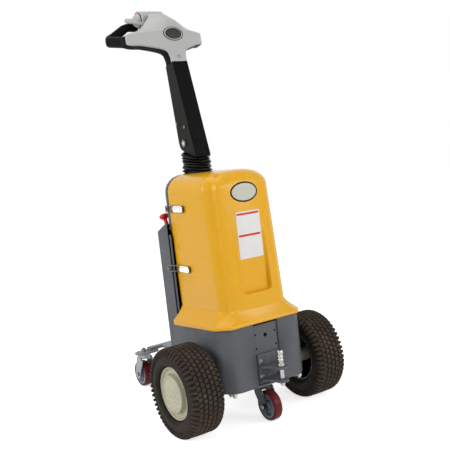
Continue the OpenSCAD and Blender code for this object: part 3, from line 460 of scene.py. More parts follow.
def hood_skin():
    """The hood as rows from its lower rim to its ridge. Each row is an outline: side, rounded corner, hollow
    angled face, rounded corner and a front that bows by bow x t^2. Rows flare as (1 - t)^1.4 at the skirt,
    taper straight, round over as a quarter ellipse, and close on the middle line round the bellows' notch;
    the flare sinks towards the rear as its rim does."""
    flare = (1 - np.linspace(0, 1, 16)) ** 1.4
    body = np.linspace(FLARE_TOP, CROWN_Z, 150)[1:]
    share = (body - FLARE_TOP) / (CROWN_Z - FLARE_TOP)
    arc = np.radians(np.linspace(0, 90, 19))[1:]
    fall = 1 - np.cos(arc)
    close = np.linspace(1, 0, 14)[1:]
    full = np.ones(3)
    top_half, top_front = SHOULDER - CROWN_IN, SHOULDER_FRONT - CROWN_BACK

    def rows(*parts):
        """One value for each row, as a column."""
        return np.concatenate(parts)[:, None]

    # Each row's half width, front, bow, height, narrowing, rear end, hollow and corner round
    w = rows(SKIRT_HALF * full, WAIST + (SKIRT_HALF - WAIST) * flare, WAIST + (SHOULDER - WAIST) * share,
             SHOULDER - CROWN_IN * fall, top_half + 0 * close)
    f = rows(SKIRT_FRONT * full, WAIST_FRONT + (SKIRT_FRONT - WAIST_FRONT) * flare,
             WAIST_FRONT + (SHOULDER_FRONT - WAIST_FRONT) * share, SHOULDER_FRONT - CROWN_BACK * fall,
             top_front - 12 * (1 - close))
    bow = rows(full, HOOD_BOW + (1 - HOOD_BOW) * flare, HOOD_BOW + 0 * share, HOOD_BOW + 0 * fall,
               HOOD_BOW + 0 * close)
    z = rows(FLARE_LOW * full, FLARE_LOW + (FLARE_TOP - FLARE_LOW) * np.linspace(0, 1, 16), body,
             CROWN_Z + CROWN_RISE * np.sin(arc), HOOD_TOP + 0 * close)
    narrow = rows(np.ones(len(w) - len(close)), close)
    rear = np.interp(z, [274, 370, 570, 835], [161, 163, 176, 176])
    notch = FOOT_Y - np.sqrt(NOTCH_R ** 2 - (top_half * narrow) ** 2)
    rear = np.where(narrow < 1, np.minimum(rear, notch), rear)
    hollow = rows(0 * full, HOLLOW * (1 - flare), HOLLOW + 0 * share, HOLLOW * np.cos(arc), 0 * close)
    d = rows(TURN_LOW * full, TURN_LOW + 0 * flare, TURN_LOW + 0 * share,
             TURN_LOW + (TURN_TOP - TURN_LOW) * fall, TURN_TOP + 0 * close)

    # Left half of each row, from the rear: side, corner, angled face, corner, front; then its mirror image
    bx = w - CORNER_X
    ax, ay, by = -w, CORNER_Y - f, bow - f
    run = np.sqrt(CORNER_X ** 2 + (by - ay) ** 2)
    ux, uy = CORNER_X / run, (by - ay) / run
    te = d / bx - 1
    t_side, t_turn, t_face = (np.linspace(0, 1, n)[:-1] for n in (34, 9, 12))
    side = (ax + 0 * t_side, rear + (ay + d - rear) * t_side)
    one = (ax + d * ux * t_turn ** 2, ay + d * (1 - t_turn) ** 2 + d * uy * t_turn ** 2)
    long = run - 2 * d
    sink = hollow * np.sin(math.pi * t_face)
    face = (ax + (d + long * t_face) * ux - sink * uy, ay + (d + long * t_face) * uy + sink * ux)
    ex, ey = bx * te, bow * te ** 2 - f
    two = ((1 - t_turn) ** 2 * (-bx - d * ux) + 2 * t_turn * (1 - t_turn) * -bx + t_turn ** 2 * ex,
           (1 - t_turn) ** 2 * (by - d * uy) + 2 * t_turn * (1 - t_turn) * by + t_turn ** 2 * ey)
    t_front = te * (1 - np.linspace(0, 1, 45))
    front = (bx * t_front, bow * t_front ** 2 - f)
    x = np.concatenate([side[0], one[0], face[0], two[0], front[0]], 1)
    y = np.concatenate([side[1], one[1], face[1], two[1], front[1]], 1)
    x = np.concatenate([x, -x[:, -2::-1]], 1) * narrow
    y = np.concatenate([y, y[:, -2::-1]], 1)
    z = z + 0 * x
    # Rim and flare sink towards the rear
    drop = SKIRT_DROP * (y + SKIRT_NOSE) / SKIRT_LONG
    z = z - drop * (1 - ease((z - RIM_FRONT) / 90))
    rim = RIM_FRONT - RIM_FALL * (y[:3] + SKIRT_NOSE) / SKIRT_LONG
    z[:3] = rim + (FLARE_LOW - drop[:3] - rim) * np.array([0, 0.35, 0.98])[:, None]

    # Panel: depth inside a rounded rectangle, the sunk floor, and the ridge round it
    dx, dz = np.abs(x) - PANEL_HALF, np.abs(z - (PANEL_LOW + PANEL_HIGH) / 2) - (PANEL_HIGH - PANEL_LOW) / 2
    ox, oz = dx + PANEL_ROUND, dz + PANEL_ROUND
    depth = PANEL_ROUND - np.hypot(np.maximum(ox, 0), np.maximum(oz, 0)) - np.minimum(np.maximum(ox, oz), 0)
    floor = ease((depth + 1) / 5) * (y < 0)
    y = y + floor * np.maximum(0, -PANEL_FLOOR - y)
    ridge = 2.2 * np.exp(-((depth + 4.5) / 3.2) ** 2) * (y < 0) * ease((z - 400) / 20) * ease((640 - z) / 120)
    y = y - ridge

    # Shallow tongues on the sides
    flank = np.abs(x) > 118
    for level in TONGUE_LEVELS:
        tongue = ease((7 - np.abs(z - level)) / 2.5) * ease((y - 40) / 80) * ease((140 - y) / 6)
        x = x + np.sign(x) * TONGUE_RISE * tongue * flank * (z > 400)
    return np.stack([x, y, z], -1)


build("hood_moulding", [patch(hood_skin())], "chassis", "hood_yellow", ["hood"], wall=4.6, sharp=60)


def on_hood(outline, z_mid, lift):
    """A patch on the hood's front: an outline of [x, z] shrunk to its middle, lifted off the bowed face."""
    flat = np.linspace(1, 0, 10)[:, None, None] * outline[None]
    x, z = flat[..., 0], flat[..., 1] + z_mid
    y = HOOD_BOW * (x / (SHOULDER - CORNER_X)) ** 2 - hood_front(z) - lift
    return patch(np.stack([x, y, z], -1), wrap_cols=True)


build("hood_badge_rim", [on_hood(oval(50, 31, 72), 718, 0.5)], "chassis", "black_plastic", wall=0.9, sharp=60)
build("hood_badge_face", [on_hood(oval(45.5, 26.5, 72), 718, 0.9)], "chassis", "head_silver",
      finish=plate_silver, wall=0.5, sharp=60)
LABEL_Z, LABEL_A, LABEL_B = 586.5, 44.0, 72.5
plate = slab(rectangle(LABEL_A, LABEL_B, 3), -0.1, 0.7, 0.25, (0, -PANEL_FLOOR, LABEL_Z), ACROSS, UP)
build("panel_plate", [plate], "chassis", "head_silver", finish=plate_white)
stripe = rectangle(LABEL_A - 3.5, 3.2, 0.6)
stripes = [slab(stripe, 0.5, 1.0, 0.15, (0, -PANEL_FLOOR, LABEL_Z + up), ACROSS, UP) for up in (65, -1)]
build("panel_stripes", stripes, "chassis", "red_plastic")


# Base

def base_outline(inset):
    """The base's plan: a rectangle with angled front corners, every fold rounded."""
    w, c = BASE_HALF - inset, BASE_CORNER - inset * math.tan(math.radians(22.5))
    front, rear = BASE_FRONT + inset, BASE_REAR - inset
    loop = [[-w, rear], [-w, c + BASE_FRONT], [c - w, front], [w - c, front], [w, c + BASE_FRONT], [w, rear]]
    return soften_loop(loop, np.array([5, 14, 14, 14, 14, 5]), 9)


def base_walls():
    """The folded wall: the rounded plan raised in four steps, without the quads of the front window."""
    plan = base_outline(0)
    front = np.abs(plan[:, 1] - BASE_FRONT) < 0.01
    corner = np.where(front)[0]
    left = corner[np.argmax(np.where(plan[corner, 0] < 0, plan[corner, 0], -1e9))]
    plan = np.concatenate([plan[:left + 1], [[-WINDOW_HALF, BASE_FRONT], [WINDOW_HALF, BASE_FRONT]],
                           plan[left + 1:]])
    levels = np.array([BASE_LOW, BASE_LOW + 6, 222, BASE_TOP - 5, BASE_TOP])
    points = np.concatenate([np.broadcast_to(plan, (5,) + plan.shape),
                             np.broadcast_to(levels[:, None, None], (5, len(plan), 1))], -1)
    keep = np.ones((4, len(plan)), bool)
    keep[1:3, left + 1] = False
    return patch(points, wrap_cols=True, keep=keep)


build("base_walls", [base_walls()], "chassis", "steel_grey", wall=5, sharp=24)
floor_front = [[-152, -30], [-152, -77], [-118, -111.5], [118, -111.5], [152, -77], [152, -30]]
# Deck and the two floor plates: plan, lower and upper face, place along Y
plates = [(base_outline(4.5), 317.2, 321.8, 0), (soften_loop(floor_front, 3), 120.2, 125, 0),
          (rectangle(152, 22.5, 3), 120.2, 125, 152.5)]
plates = [slab(plan, low, high, 0.6, (0, y, 0), ACROSS, REARWARD) for plan, low, high, y in plates]
build("base_plates", plates, "chassis", "steel_grey")
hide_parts("base_shell")
fold = slab(rectangle(5.5, 128, 2), 130, 133, 0.8, (0, 175.5, 468), REARWARD, UP)
build("column_edges", [fold, mirrored(fold)], "chassis", "steel_grey")
# A near-black strip along the top of the front window: painted shade for the gap between the hood's rim and
# the recessed hitch plate.
build("window_shade_strip", [slab(rectangle(45.5, 2.8, 1), 0, 3, 0.8, (0, -112, 314), ACROSS, UP)], "chassis",
      "black_rubber", finish=seal_and_gap_shade)


# Hitch

def hex_outline(r):
    """A hexagon, r x (cos, sin) at sixths of a turn, with rounded corners."""
    t = np.linspace(0, TURN, 6, endpoint=False) + 0.2
    return soften_loop(np.stack([r * np.cos(t), r * np.sin(t)], -1), 0.8, 3)


def hitch_pin():
    """The drop pin turned round its axis: rounded tip, waist ring, collar, and a head with two grooves."""
    line = [[0, 127], [4.5, 127], [7.5, 131], [7.5, 137], [6.2, 138.5], [7.5, 140], [7.5, 187.2],
            [11.4, 187.2], [11.4, 194.5], [8.2, 195.5], [8.2, 201], [9.6, 203], [9.6, 209], [8.6, 210.5],
            [8.6, 212], [9.6, 213.5], [9.6, 220], [8.4, 221.5], [8.4, 224], [10.8, 226], [10.8, 234],
            [8.5, 237.5], [0, 238]]
    return revolve(soften(line, 1.2, 4), (0, PIN_Y, 0), UP, 56)


build("drop_pin", [hitch_pin()], "chassis", "zinc", ["hitch_pin"], finish=bright_steel, sharp=30)
bolt_places = [(s * 34.0, -119.0, z) for s in (-1, 1) for z in (153.5, 200.0)]
bolt_heads = [moved(slab(hex_outline(6.8), 1.6, 5.6, 0.8, ORIGIN, ACROSS, UP), p) for p in bolt_places]
washer = [[0, 0], [8.2, 0], [8.2, 1.2], [7.7, 1.7], [0, 1.7]]
bolt_washers = [revolve(washer, p, (0, -1, 0), 40) for p in bolt_places]
bolt_shanks = [revolve([[4.1, -16], [4.1, 0]], p, (0, -1, 0), 24) for p in bolt_places]
build("bracket_bolts", bolt_heads + bolt_washers + bolt_shanks, "chassis", "zinc", ["hitch_bolts"])


# Drive wheels

TREAD_ROWS, TREAD_COUNT = 5, 54
TREAD_PITCH = TURN / TREAD_COUNT
# Tyre's crown, spacing of its rows, half width of a block
CROWN_R, ROW_STEP, BLOCK_HALF = 134.0, 16.0, 6.6
# Shoulder's arc: its middle across and out from the axle, its radius, and a lug's root and reach
SHOULDER_X, SHOULDER_RADIUS, SHOULDER_ARC, LUG_ROOT, LUG_REACH = 38.0, 122.0, 12.0, 10.5, 18.0


def tyre_carcass():
    """The tyre without its blocks, turned round the axle: bead, bulging side with a moulded ring, a shoulder
    that is an arc, and the crown."""
    turn = np.radians(np.linspace(-12, 88, 9))
    shoulder = np.stack([SHOULDER_RADIUS + SHOULDER_ARC * np.sin(turn),
                         SHOULDER_X + SHOULDER_ARC * np.cos(turn)], -1)
    side = [[76.3, 39.2], [82.8, 39.2], [84.5, 41.5], [86.5, 47.0], [89.5, 50.2], [93.0, 51.6], [95.4, 53.6],
            [97.6, 53.4], [99.5, 52.2], [106, 52.6], [113, 51.6]]
    half = np.concatenate([soften(side, 2, 4), shoulder, [[CROWN_R, 20], [CROWN_R, 0]]])
    return revolve(np.concatenate([both_ways(half), [[76.3, 0], [76.3, 39.2]]]), ORIGIN, ACROSS, 128)


def on_tyre(turn, across, radius):
    """Cylinder coordinates to space: the angle round the axle, the place across and the radius."""
    return np.stack([across + 0 * turn, radius * np.sin(turn), radius * np.cos(turn)], -1)


def tread_blocks():
    """Brick-laid blocks. Each is a stack of eight-cornered rings, given as share of its half sizes and
    height, set by its angle and its place across; every second row is half a pitch on. The crown falls off as
    (x / shoulder)^2."""
    row = np.arange(TREAD_ROWS)
    mid = (row - TREAD_ROWS // 2) * ROW_STEP
    turn = (np.arange(TREAD_COUNT)[None, :] + 0.5 * (row % 2)[:, None]) * TREAD_PITCH
    size = np.array([1.06, 1.0, 0.97, 0.90])
    height = np.array([-2.0, 2.6, 5.3, 6.0])
    corner = np.array([[-1, -1], [-0.15, -0.84], [0.15, -1.0], [1, -1], [1, 1], [0.15, 0.84], [-0.15, 1.0],
                       [-1, 1]], float)
    lay = corner[None] * size[:, None, None]
    a = turn[:, :, None, None] + lay[..., 0] * (TREAD_PITCH * 0.40)
    x = mid[:, None, None, None] + lay[..., 1] * BLOCK_HALF + 0 * a
    r = CROWN_R - (x / SHOULDER_X) ** 2 + height[:, None] + 0 * a
    points = on_tyre(a, x, r)
    blocks, rings, sides = TREAD_ROWS * TREAD_COUNT, len(size), len(corner)
    points = points.reshape(blocks, rings, sides, 3)
    wall = patch(points[0], wrap_cols=True)[1]
    n = rings * sides
    top = (rings - 1) * sides + np.array([[0, 1, 6, 7], [1, 2, 5, 6], [2, 3, 4, 5]])
    quads = np.concatenate([wall, top])[None] + (np.arange(blocks) * n)[:, None, None]
    return points.reshape(-1, 3), quads.reshape(-1, 4)


def shoulder_lugs(side):
    """Fingers over one shoulder, half a pitch on from the outer blocks. Stations follow an arc about the
    shoulder's middle, by angle and loss of reach; each is a strip with sloped flanks from the root up to its
    own reach."""
    angle = np.radians([86, 66, 46, 26, 8, -8, -20])
    reach = LUG_REACH + np.array([0, 0, 0, 0, -0.2, -1.2, -6.0])
    flat = np.array([[-1.12, 0], [-0.96, 0.8], [-0.8, 1], [0.8, 1], [0.96, 0.8], [1.12, 0]])
    out = LUG_ROOT + (reach[:, None] - LUG_ROOT) * flat[None, :, 1]
    turn = (np.arange(TREAD_COUNT) + 0.5)[:, None, None] * TREAD_PITCH
    a = turn + 0.28 * TREAD_PITCH * flat[None, None, :, 0] + 0 * out[None]
    x = SHOULDER_X + out * np.cos(angle)[:, None]
    r = SHOULDER_RADIUS + out * np.sin(angle)[:, None]
    points = on_tyre(a, side * x[None] + 0 * a, r[None] + 0 * a)
    count, m, k = points.shape[:3]
    strip = patch(points[0])[1]
    cap = np.array([[0, 1, 4, 5], [1, 2, 3, 4]])
    cap = np.concatenate([cap, (m - 1) * k + cap[:, ::-1]])
    quads = np.concatenate([strip, cap])[None] + (np.arange(count) * m * k)[:, None, None]
    return points.reshape(-1, 3), quads.reshape(-1, 4)


def rim_shapes():
    """The wheel disc turned round the axle, outer side at +X: rolled lip, band, raised middle with a rounded
    bead and a faint step; then the hub behind it, and the barrel with the inner lip."""
    outer = [[76, 24], [76, 37.5], [78.4, 39.2], [81.4, 39.6], [82.2, 41.8], [80.6, 43.4], [77.8, 42.6],
             [75.4, 39.0], [73.0, 36.2], [69.5, 35.4], [62.5, 35.6], [61.0, 37.0], [59.6, 43.0], [58.2, 49.0],
             [55.6, 51.6], [52.4, 51.2], [50.2, 48.4], [46, 47.9], [38, 48.2], [20, 48.8], [14, 50.0],
             [11, 51.4], [0, 51.7]]
    disc = revolve(soften(outer, 2.0, 5), ORIGIN, ACROSS, 112)
    behind = revolve(soften([[73, 28], [60, 25], [52, 44], [47, 46], [26, 46.6]], 2, 4), ORIGIN, ACROSS, 72)
    hub = revolve(soften([[26, 46.6], [22, 44], [22, -43], [10.1, -44]], 2, 4), ORIGIN, ACROSS, 48)
    barrel = revolve([[75.7, 36], [75.7, -38], [76, -39.4], [81.4, -39.6], [82.2, -41.8], [80.6, -43.4],
                      [77.6, -42.6], [74, -38], [72, -32], [72, 32]], ORIGIN, ACROSS, 96)
    return [disc, hub, behind, barrel]


def weld_dots():
    """Three shallow pressed dots on the disc's middle: thin lens shapes, radius^2 falling off to the rim."""
    lens = [[0, 0.8], [1.6, 0.6], [3.0, 0.0], [3.2, -0.6]]
    return [revolve(lens, (48.6, 21 * math.sin(t), 21 * math.cos(t)), ACROSS, 20)
            for t in 0.5 + TURN / 3 * np.arange(3)]


for side, label in ((-1, "left"), (1, "right")):
    spot = (side * TRACK_HALF, 0, TYRE_R)
    hand = (lambda s: s) if side > 0 else mirrored
    body = label + "_wheel"
    tyre = [tyre_carcass(), tread_blocks(), shoulder_lugs(1), shoulder_lugs(-1)]
    # The carcass takes the darker rubber: partly its own tone, partly painted shade.
    build(label + "_turf_tyre", [moved(hand(s), spot) for s in tyre], body, "tyre_rubber", [label + "_tyre"],
          sharp=32, coats=(carcass_tone_and_shade, [1, 0, 0, 0]))
    shapes = rim_shapes() + weld_dots()
    # The back of the disc and the barrel take the near-black coat, which is painted shade inside the wheel.
    build(label + "_disc_wheel", [moved(hand(s), spot) for s in shapes], body, "rim_cream", [label + "_rim"],
          sharp=50, coats=(shaded_rim_black, [0, 0, 1, 1, 0, 0, 0]))


# Bellows

# Height, step to the rear and lean of the bellows' top, and how many folds it has
FOLDS_HIGH, FOLDS_BACK, FOLDS_LEAN, FOLDS = 70.0, 3.0, math.radians(16.26), 6


def bellows_skin():
    """The folds: the radius swings as a raised cosine of the height, shrinks by 5 upwards, and the folds
    twist and sag unevenly with the angle; each ring leans over further than the one below."""
    t = np.linspace(0, 1, 121)[:, None]
    turn = np.linspace(0, TURN, 84, endpoint=False)[None]
    lean = -FOLDS_LEAN * t
    free = np.sin(math.pi * t)
    phase = TURN * FOLDS * t + free * (3.2 * np.sin(turn + 0.6) + 2.0 * np.sin(2 * turn + 1.9 + 5 * t)
                                       + 1.1 * np.sin(4 * turn + 11 * t))
    wave = 0.5 - 0.5 * np.cos(phase)
    deep = 8.4 + 2.6 * np.sin(2 * turn + 7 * t)
    uneven = 1.2 * (1 + np.sin(3 * turn + 11 * t)) + 1.5 * (1 + np.sin(0.5 * phase + 2 * turn))
    r = 53.4 - 5 * t - deep * (1 - wave ** 0.6) - uneven * free
    y, x = r * np.sin(turn), r * np.cos(turn)
    points = np.stack([x, FOOT_Y + FOLDS_BACK * t + y * np.cos(lean),
                       FOOT_Z + FOLDS_HIGH * t - y * np.sin(lean)], -1)
    return patch(points, wrap_cols=True)


bellows = build("bellows_folds", [bellows_skin()], None, "black_rubber", ["bellows"], wall=2, sharp=70)
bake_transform(bellows)


# Control head

NECK = np.array([PIVOT_Y + 16, PIVOT_Z + 270.8])
# Along the head from the neck over the crest
HEAD_ROWS = np.array([
    # behind neck, above neck, half width, sweep, cover's depth, whole depth
    [0, 0, 29, 0, 12, 48],
    [4.5, 22, 30.5, 0, 12, 48],
    [9, 42, 43, 3, 12, 46],
    [13.5, 61, 101.5, 30, 12, 40],
    [16, 71, 145, 60, 12, 36],
    [22, 101, 145, 60, 12, 36],
    [26, 110, 116, 57, 14, 36],
    [31, 121, 87, 51, 22, 36],
    [45, 143, 63.8, 49.8, 32, 36],
    [79, 166, 37.7, 34.8, 36, 36],
    [103, 176, 29, 19.8, 36, 36],
    [124, 178, 26.1, 12, 30, 30],
], float)
STEPS = 10


def head_curve():
    """The rows on a smooth curve, with the direction along them."""
    rows = through(HEAD_ROWS, STEPS * (len(HEAD_ROWS) - 1) + 1)
    rows[:, 2] = np.minimum(rows[:, 2], HEAD_ROWS[:, 2].max())
    return rows, unit(np.gradient(rows[:, :2], axis=0))


def head_layer(rows, along, high, low, edge):
    """A slab of the head between two depths. Its section is a rectangle of a row's half width with rounded
    corners; a point at share v of the half width sweeps back by sweep x v^2 and sinks square to the row. The
    far end is a quarter round too."""
    turn = np.linspace(0, math.pi / 2, 6)
    tip = 6 * np.sin(turn)[1:]
    shrink = np.concatenate([0 * rows[:, 0], 6 * (1 - np.cos(turn))[1:]])[:, None]
    place = np.concatenate([rows[:, :2], rows[-1, :2] + tip[:, None] * along[-1]])
    down = np.concatenate([along, np.repeat(along[-1:], len(tip), 0)])
    down = np.stack([down[:, 1], -down[:, 0]], -1)
    half, sweep, high, low = (np.concatenate([v, np.repeat(v[-1:], len(tip))])[:, None]
                              for v in (rows[:, 2], rows[:, 3], high, low))
    half, high, low = half - shrink, high + shrink, low - shrink
    e = np.minimum(edge, 0.45 * (low - high))
    flat, s, c = np.linspace(-1, 1, 41)[1:-1], np.sin(turn), np.cos(turn)
    core = half - e
    x = [core * flat, core + e * s, core + e * c, -core * flat, -core - e * s, -core - e * c]
    deep = [high + 0 * core * flat, high + e * (1 - c), low - e * (1 - s), low + 0 * core * flat,
            low - e * (1 - c), high + e * (1 - s)]
    x, deep = np.concatenate(x, 1), np.concatenate(deep, 1)
    back = sweep * (x / half) ** 2
    points = np.stack([x, NECK[0] + place[:, :1] + back + down[:, :1] * deep,
                       NECK[1] + place[:, 1:] + down[:, 1:] * deep], -1)
    ends = [np.repeat(points[k].mean(0)[None, None], points.shape[1], 1) for k in (0, -1)]
    return patch(np.concatenate([ends[0], points, ends[1]]), wrap_cols=True)


rows, along = head_curve()
build("head_cover", [head_layer(rows[:-3], along[:-3], 0 * rows[:-3, 4], rows[:-3, 4], 4)], "tiller",
      "head_silver", ["head_shell"], sharp=50)
low, low_along = rows[:7 * STEPS - 2].copy(), along[:7 * STEPS - 2]
low[:, 2] += 5 * ease((low[:, 2] - 60) / 60)
build("head_underside", [head_layer(low, low_along, low[:, 4] + 0.3, low[:, 5], 5)], "tiller",
      "black_plastic", ["head_lower"], sharp=50)


def on_head(outline, up, lift):
    """A patch that follows the head's face: an outline of [x, along] shrunk to its middle, which is a
    distance up from the neck along the rows, lifted off the face."""
    rows, along = head_curve()
    run = np.concatenate([[0], np.cumsum(np.linalg.norm(np.diff(rows[:, :2], axis=0), axis=1))])
    flat = np.linspace(1, 0, 8)[:, None, None] * outline[None]
    x, at = flat[..., 0], flat[..., 1] + up
    y, z, half, sweep, dy, dz = (np.interp(at, run, v) for v in (*rows[:, :4].T, *along.T))
    y = NECK[0] + y + sweep * (x / half) ** 2 - dz * lift
    return patch(np.stack([x, y, NECK[1] + z + dy * lift], -1), wrap_cols=True)


build("head_badge_rim", [on_head(oval(37, 25, 64), 96, 0.5)], "tiller", "black_plastic", wall=0.9, sharp=60)
build("head_badge_ring", [on_head(oval(34, 22.5, 64), 96, 0.9)], "tiller", "head_silver", finish=plate_silver,
      wall=0.5, sharp=60)
build("head_badge_field", [on_head(oval(31, 20, 64), 96, 1.3)], "tiller", "black_plastic", finish=plate_dark,
      wall=0.5, sharp=60)


def hand_loop():
    """One hand loop: a rounded section carried along a path from the wing round its outer corner to the
    throttle, tall as far as the corner and round after it."""
    turns = [[131, 300, 1234], [148, 409, 1254.5], [139, 420, 1261], [78, 408, 1303], [40, 402, 1300]]
    path = through(soften(turns, 15, 8), 100)
    along = np.linspace(0, 1, 100)[:, None, None]
    tall = 18.5 - 4.3 * ease((along - 0.5) / 0.3)
    section = oval(1, 1, 40, 2.6)[None] * np.concatenate([14 + 0 * tall, tall], -1)
    return sweep(path, section)


loop = hand_loop()
build("right_hand_loop", [loop], "tiller", "black_plastic", ["grip_right"], sharp=60)
build("left_hand_loop", [mirrored(loop)], "tiller", "black_plastic", ["grip_left"], sharp=60)

BARREL = np.array([0.0, 376.0, 1320.0])


def leaf_outline(reach, rise, wide, narrow):
    """A leaf: an arc of radius wide about the origin and one of radius narrow about (reach, rise), joined by
    their common tangents."""
    lie = math.atan2(rise, reach)
    touch = math.acos((wide - narrow) / math.hypot(reach, rise))
    far = np.linspace(lie - touch, lie + touch, 14)
    near = np.linspace(lie + touch, lie - touch + TURN, 14)
    return np.concatenate([np.stack([reach + narrow * np.cos(far), rise + narrow * np.sin(far)], -1),
                           np.stack([wide * np.cos(near), wide * np.sin(near)], -1)])


def throttle_shapes():
    """The throttle: a barrel turned round X with rounded ends, a round thumb wheel at each end that is a
    dome, a leaf paddle below it, and the seam ring between barrel and dome."""
    line = [[0, 45], [25, 45], [31, 43], [31, 12], [30.2, 11.4], [30.2, 10.6], [31, 10], [31, 0]]
    barrel = revolve(both_ways(soften(line, 2.2, 4)), BARREL, ACROSS, 80)
    k = np.linspace(0.12, math.pi / 2, 14)
    dome = revolve(np.stack([24 * np.cos(k), 42 + 24 * np.sin(k)], -1), BARREL, ACROSS, 56)
    ring = [[20, 44.6], [25.2, 44.6], [25.6, 46.2], [24.2, 47.4], [20, 47.4]]
    seam = revolve(soften(ring, 0.6, 3), BARREL, ACROSS, 56)
    swing, lean = math.radians(25), math.radians(62)
    out = np.array([math.cos(swing), math.sin(swing), 0])
    rise = math.cos(lean) * np.array([-math.sin(swing), math.cos(swing), 0]) + [0, 0, math.sin(lean)]
    leaf = slab(leaf_outline(51, 9, 13, 9), -3.5, 3.5, 3.2, BARREL + [42, -22, -8], out, rise)
    return [barrel, dome, mirrored(dome), leaf, mirrored(leaf), seam, mirrored(seam)]


build("throttle_barrel", throttle_shapes(), "tiller", "head_silver", ["throttle"], sharp=40,
      coats=(black_plastic, [0, 0, 0, 0, 0, 1, 1]))


def cushion():
    """The red button across the barrel's rear: a saddle turned round X, thick towards its rounded ends."""
    half = soften([[0, 36], [17, 36], [24, 31], [23, 22], [17, 8], [17, 0]], 5, 8)
    return revolve(both_ways(half), BARREL + [0, 30, 14], ACROSS, 64)


build("red_button", [cushion()], "tiller", "red_plastic", ["safety_button"], sharp=50)


# Disconnect handle

# Column's sloping lid: its rear foot, how far it runs forward and how far it rises
LID_FOOT, LID_RUN, LID_RISE = (247.0, 605.0), 54.0, 26.0
# Handle's place across, and its share of the way up the lid
KNOB_X, KNOB_UP = -106.0, 0.34


def mushroom():
    """The handle turned round its leaning axis: a flange, a stem and a cap with a rounded rim."""
    lean = math.atan2(LID_RISE, LID_RUN)
    foot = (KNOB_X, LID_FOOT[0] - KNOB_UP * LID_RUN, LID_FOOT[1] + KNOB_UP * LID_RISE)
    axis = (0, math.sin(lean), math.cos(lean))
    stem = [[6.5, 5], [6.5, 30], [8.5, 32], [16, 38.5], [16, 46], [13, 48], [0, 48]]
    flange = [[0, 0.3], [12, 0.3], [12, 5], [8, 6.5], [0, 6.5]]
    return revolve(soften(stem, 2.5, 5), foot, axis, 48), revolve(soften(flange, 1, 4), foot, axis, 40)


stem, flange = mushroom()
build("disconnect_handle", [stem], "chassis", "red_plastic", ["disconnect_knob"], sharp=50)
build("disconnect_flange", [flange], "chassis", "black_plastic", sharp=40)


# Latches

def latch_lever(z):
    """A draw latch lever on the hood's right side: a pressed leaf with a rounded nose, its face crowned along
    its length, standing on a base strip."""
    x = WAIST + (SHOULDER - WAIST) * (z - FLARE_TOP) / (CROWN_Z - FLARE_TOP)
    leaf = slab(rectangle(31, 10.6, 10, 8), 3.4, 8.2, 1.8, (x + 0.2, 113, z), REARWARD, UP)
    strip = slab(rectangle(27, 8, 2), 0.2, 3.6, 0.5, (x + 0.2, 124, z), REARWARD, UP)
    rib = slab(rectangle(17, 4.6, 4, 6), 7.6, 9.6, 0.9, (x + 0.2, 123, z), REARWARD, UP)
    bar = [[0, -11.6], [2.6, -11.6], [2.6, 11.6], [0, 11.6]]
    pin = revolve(soften(bar, 0.7, 3), (x + 4.5, 146, z), UP, 20)
    nose = slab(rectangle(6.5, 10.8, 6, 6), 3.2, 8.0, 1.2, (x + 0.2, 86.5, z), REARWARD, UP)
    return [leaf, strip, rib, pin, nose]


levers = [s for z in LATCH_LEVELS for s in latch_lever(z)]
build("draw_latches", levers + [mirrored(s) for s in levers], "chassis", "zinc", ["latch_levers"],
      finish=latch_chrome, sharp=40, coats=(wire_dark, [0, 1, 0, 1, 1] * 4))


# Casters

def caster_tread():
    """The caster's tyre turned round its axle: flat across with rounded shoulders."""
    line = soften([[39, -15], [44.5, -15], [48, -10.5], [48, 10.5], [44.5, 15], [39, 15]], 3.2, 6)
    return revolve(np.concatenate([line, line[:1]]), ORIGIN, ACROSS, 80)


def caster_hub():
    """The caster's hub turned round its axle: rim, sunk web and boss."""
    side = [[38.7, 0], [38.7, 14], [33, 14], [31, 11], [30, 4.4], [16, 4.4], [14.5, 8], [14, 17], [12.5, 18],
            [5.1, 18]]
    line = soften(side, 1, 3)
    return revolve(np.concatenate([(line * [1, -1])[::-1], line[1:]]), ORIGIN, ACROSS, 64)


CASTER_SPOTS = {"front": (0, -96, CASTER_R), "rear_left": (-98, 569, CASTER_R),
                "rear_right": (98, 569, CASTER_R)}
for label, spot in CASTER_SPOTS.items():
    build(label + "_caster_tyre", [moved(caster_tread(), spot)], label + "_wheel", "red_tread",
          [label + "_tread"], sharp=60)
    build(label + "_caster_hub", [moved(caster_hub(), spot)], label + "_wheel", "hub_grey", [label + "_hub"],
          sharp=40)


# Small fixings

def dome(at, axis, r, h):
    """A round screw head: a lens of height h on a radius r."""
    k = np.linspace(0, math.pi / 2, 7)
    return revolve(np.concatenate([[[r, -0.6]], np.stack([r * np.cos(k), h * np.sin(k)], -1)]), at, axis, 28)


build("head_screw", [dome((0, NECK[0] + 3, NECK[1] + 16), (0, -0.98, 0.2), 6, 3)], "tiller", "zinc",
      finish=worn_steel, sharp=50)
pin_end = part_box("arm_fasteners")[1][0] * 1000
build("pivot_screws", [dome((side * pin_end, PIVOT_Y, PIVOT_Z), (side, 0, 0), 5.8, 1.6) for side in (-1, 1)],
      "tiller", "zinc", finish=nut_zinc, sharp=50)
axle_ends = [dome((side * 29, -96, CASTER_R), (side, 0, 0), 6.2, 2.4) for side in (-1, 1)]
build("front_axle_ends", axle_ends, "front_swivel", "zinc", sharp=50)
# A thin sheet on the arm's front face in a black darker than the arm's paint, so the front reads darker than
# the side.
build("arm_front_darker_sheet", [slab(rectangle(28.4, 163, 3), 0.1, 1.0, 0.4, (0, 167, 996), ACROSS, (0, 0.244, 0.970))],
      "tiller", "arm_black", finish=arm_front_darker_black)


# Studio

# Lamps: name, place, aim and size in metres, power in watts
LAMPS = [
    ("left", (-3.6, 0.6, 2.2), (0, -0.1, 0.6), 2.4, 78),
    ("front", (1.9, -3.6, 1.8), (0, -0.1, 0.6), 2.2, 67),
    ("glint", (-0.75, -3.9, 1.9), (0, -0.1, 0.6), 1.2, 26),
    ("top", (-0.3, 0.4, 3.4), (0, 0, 0.6), 2.0, 22),
]
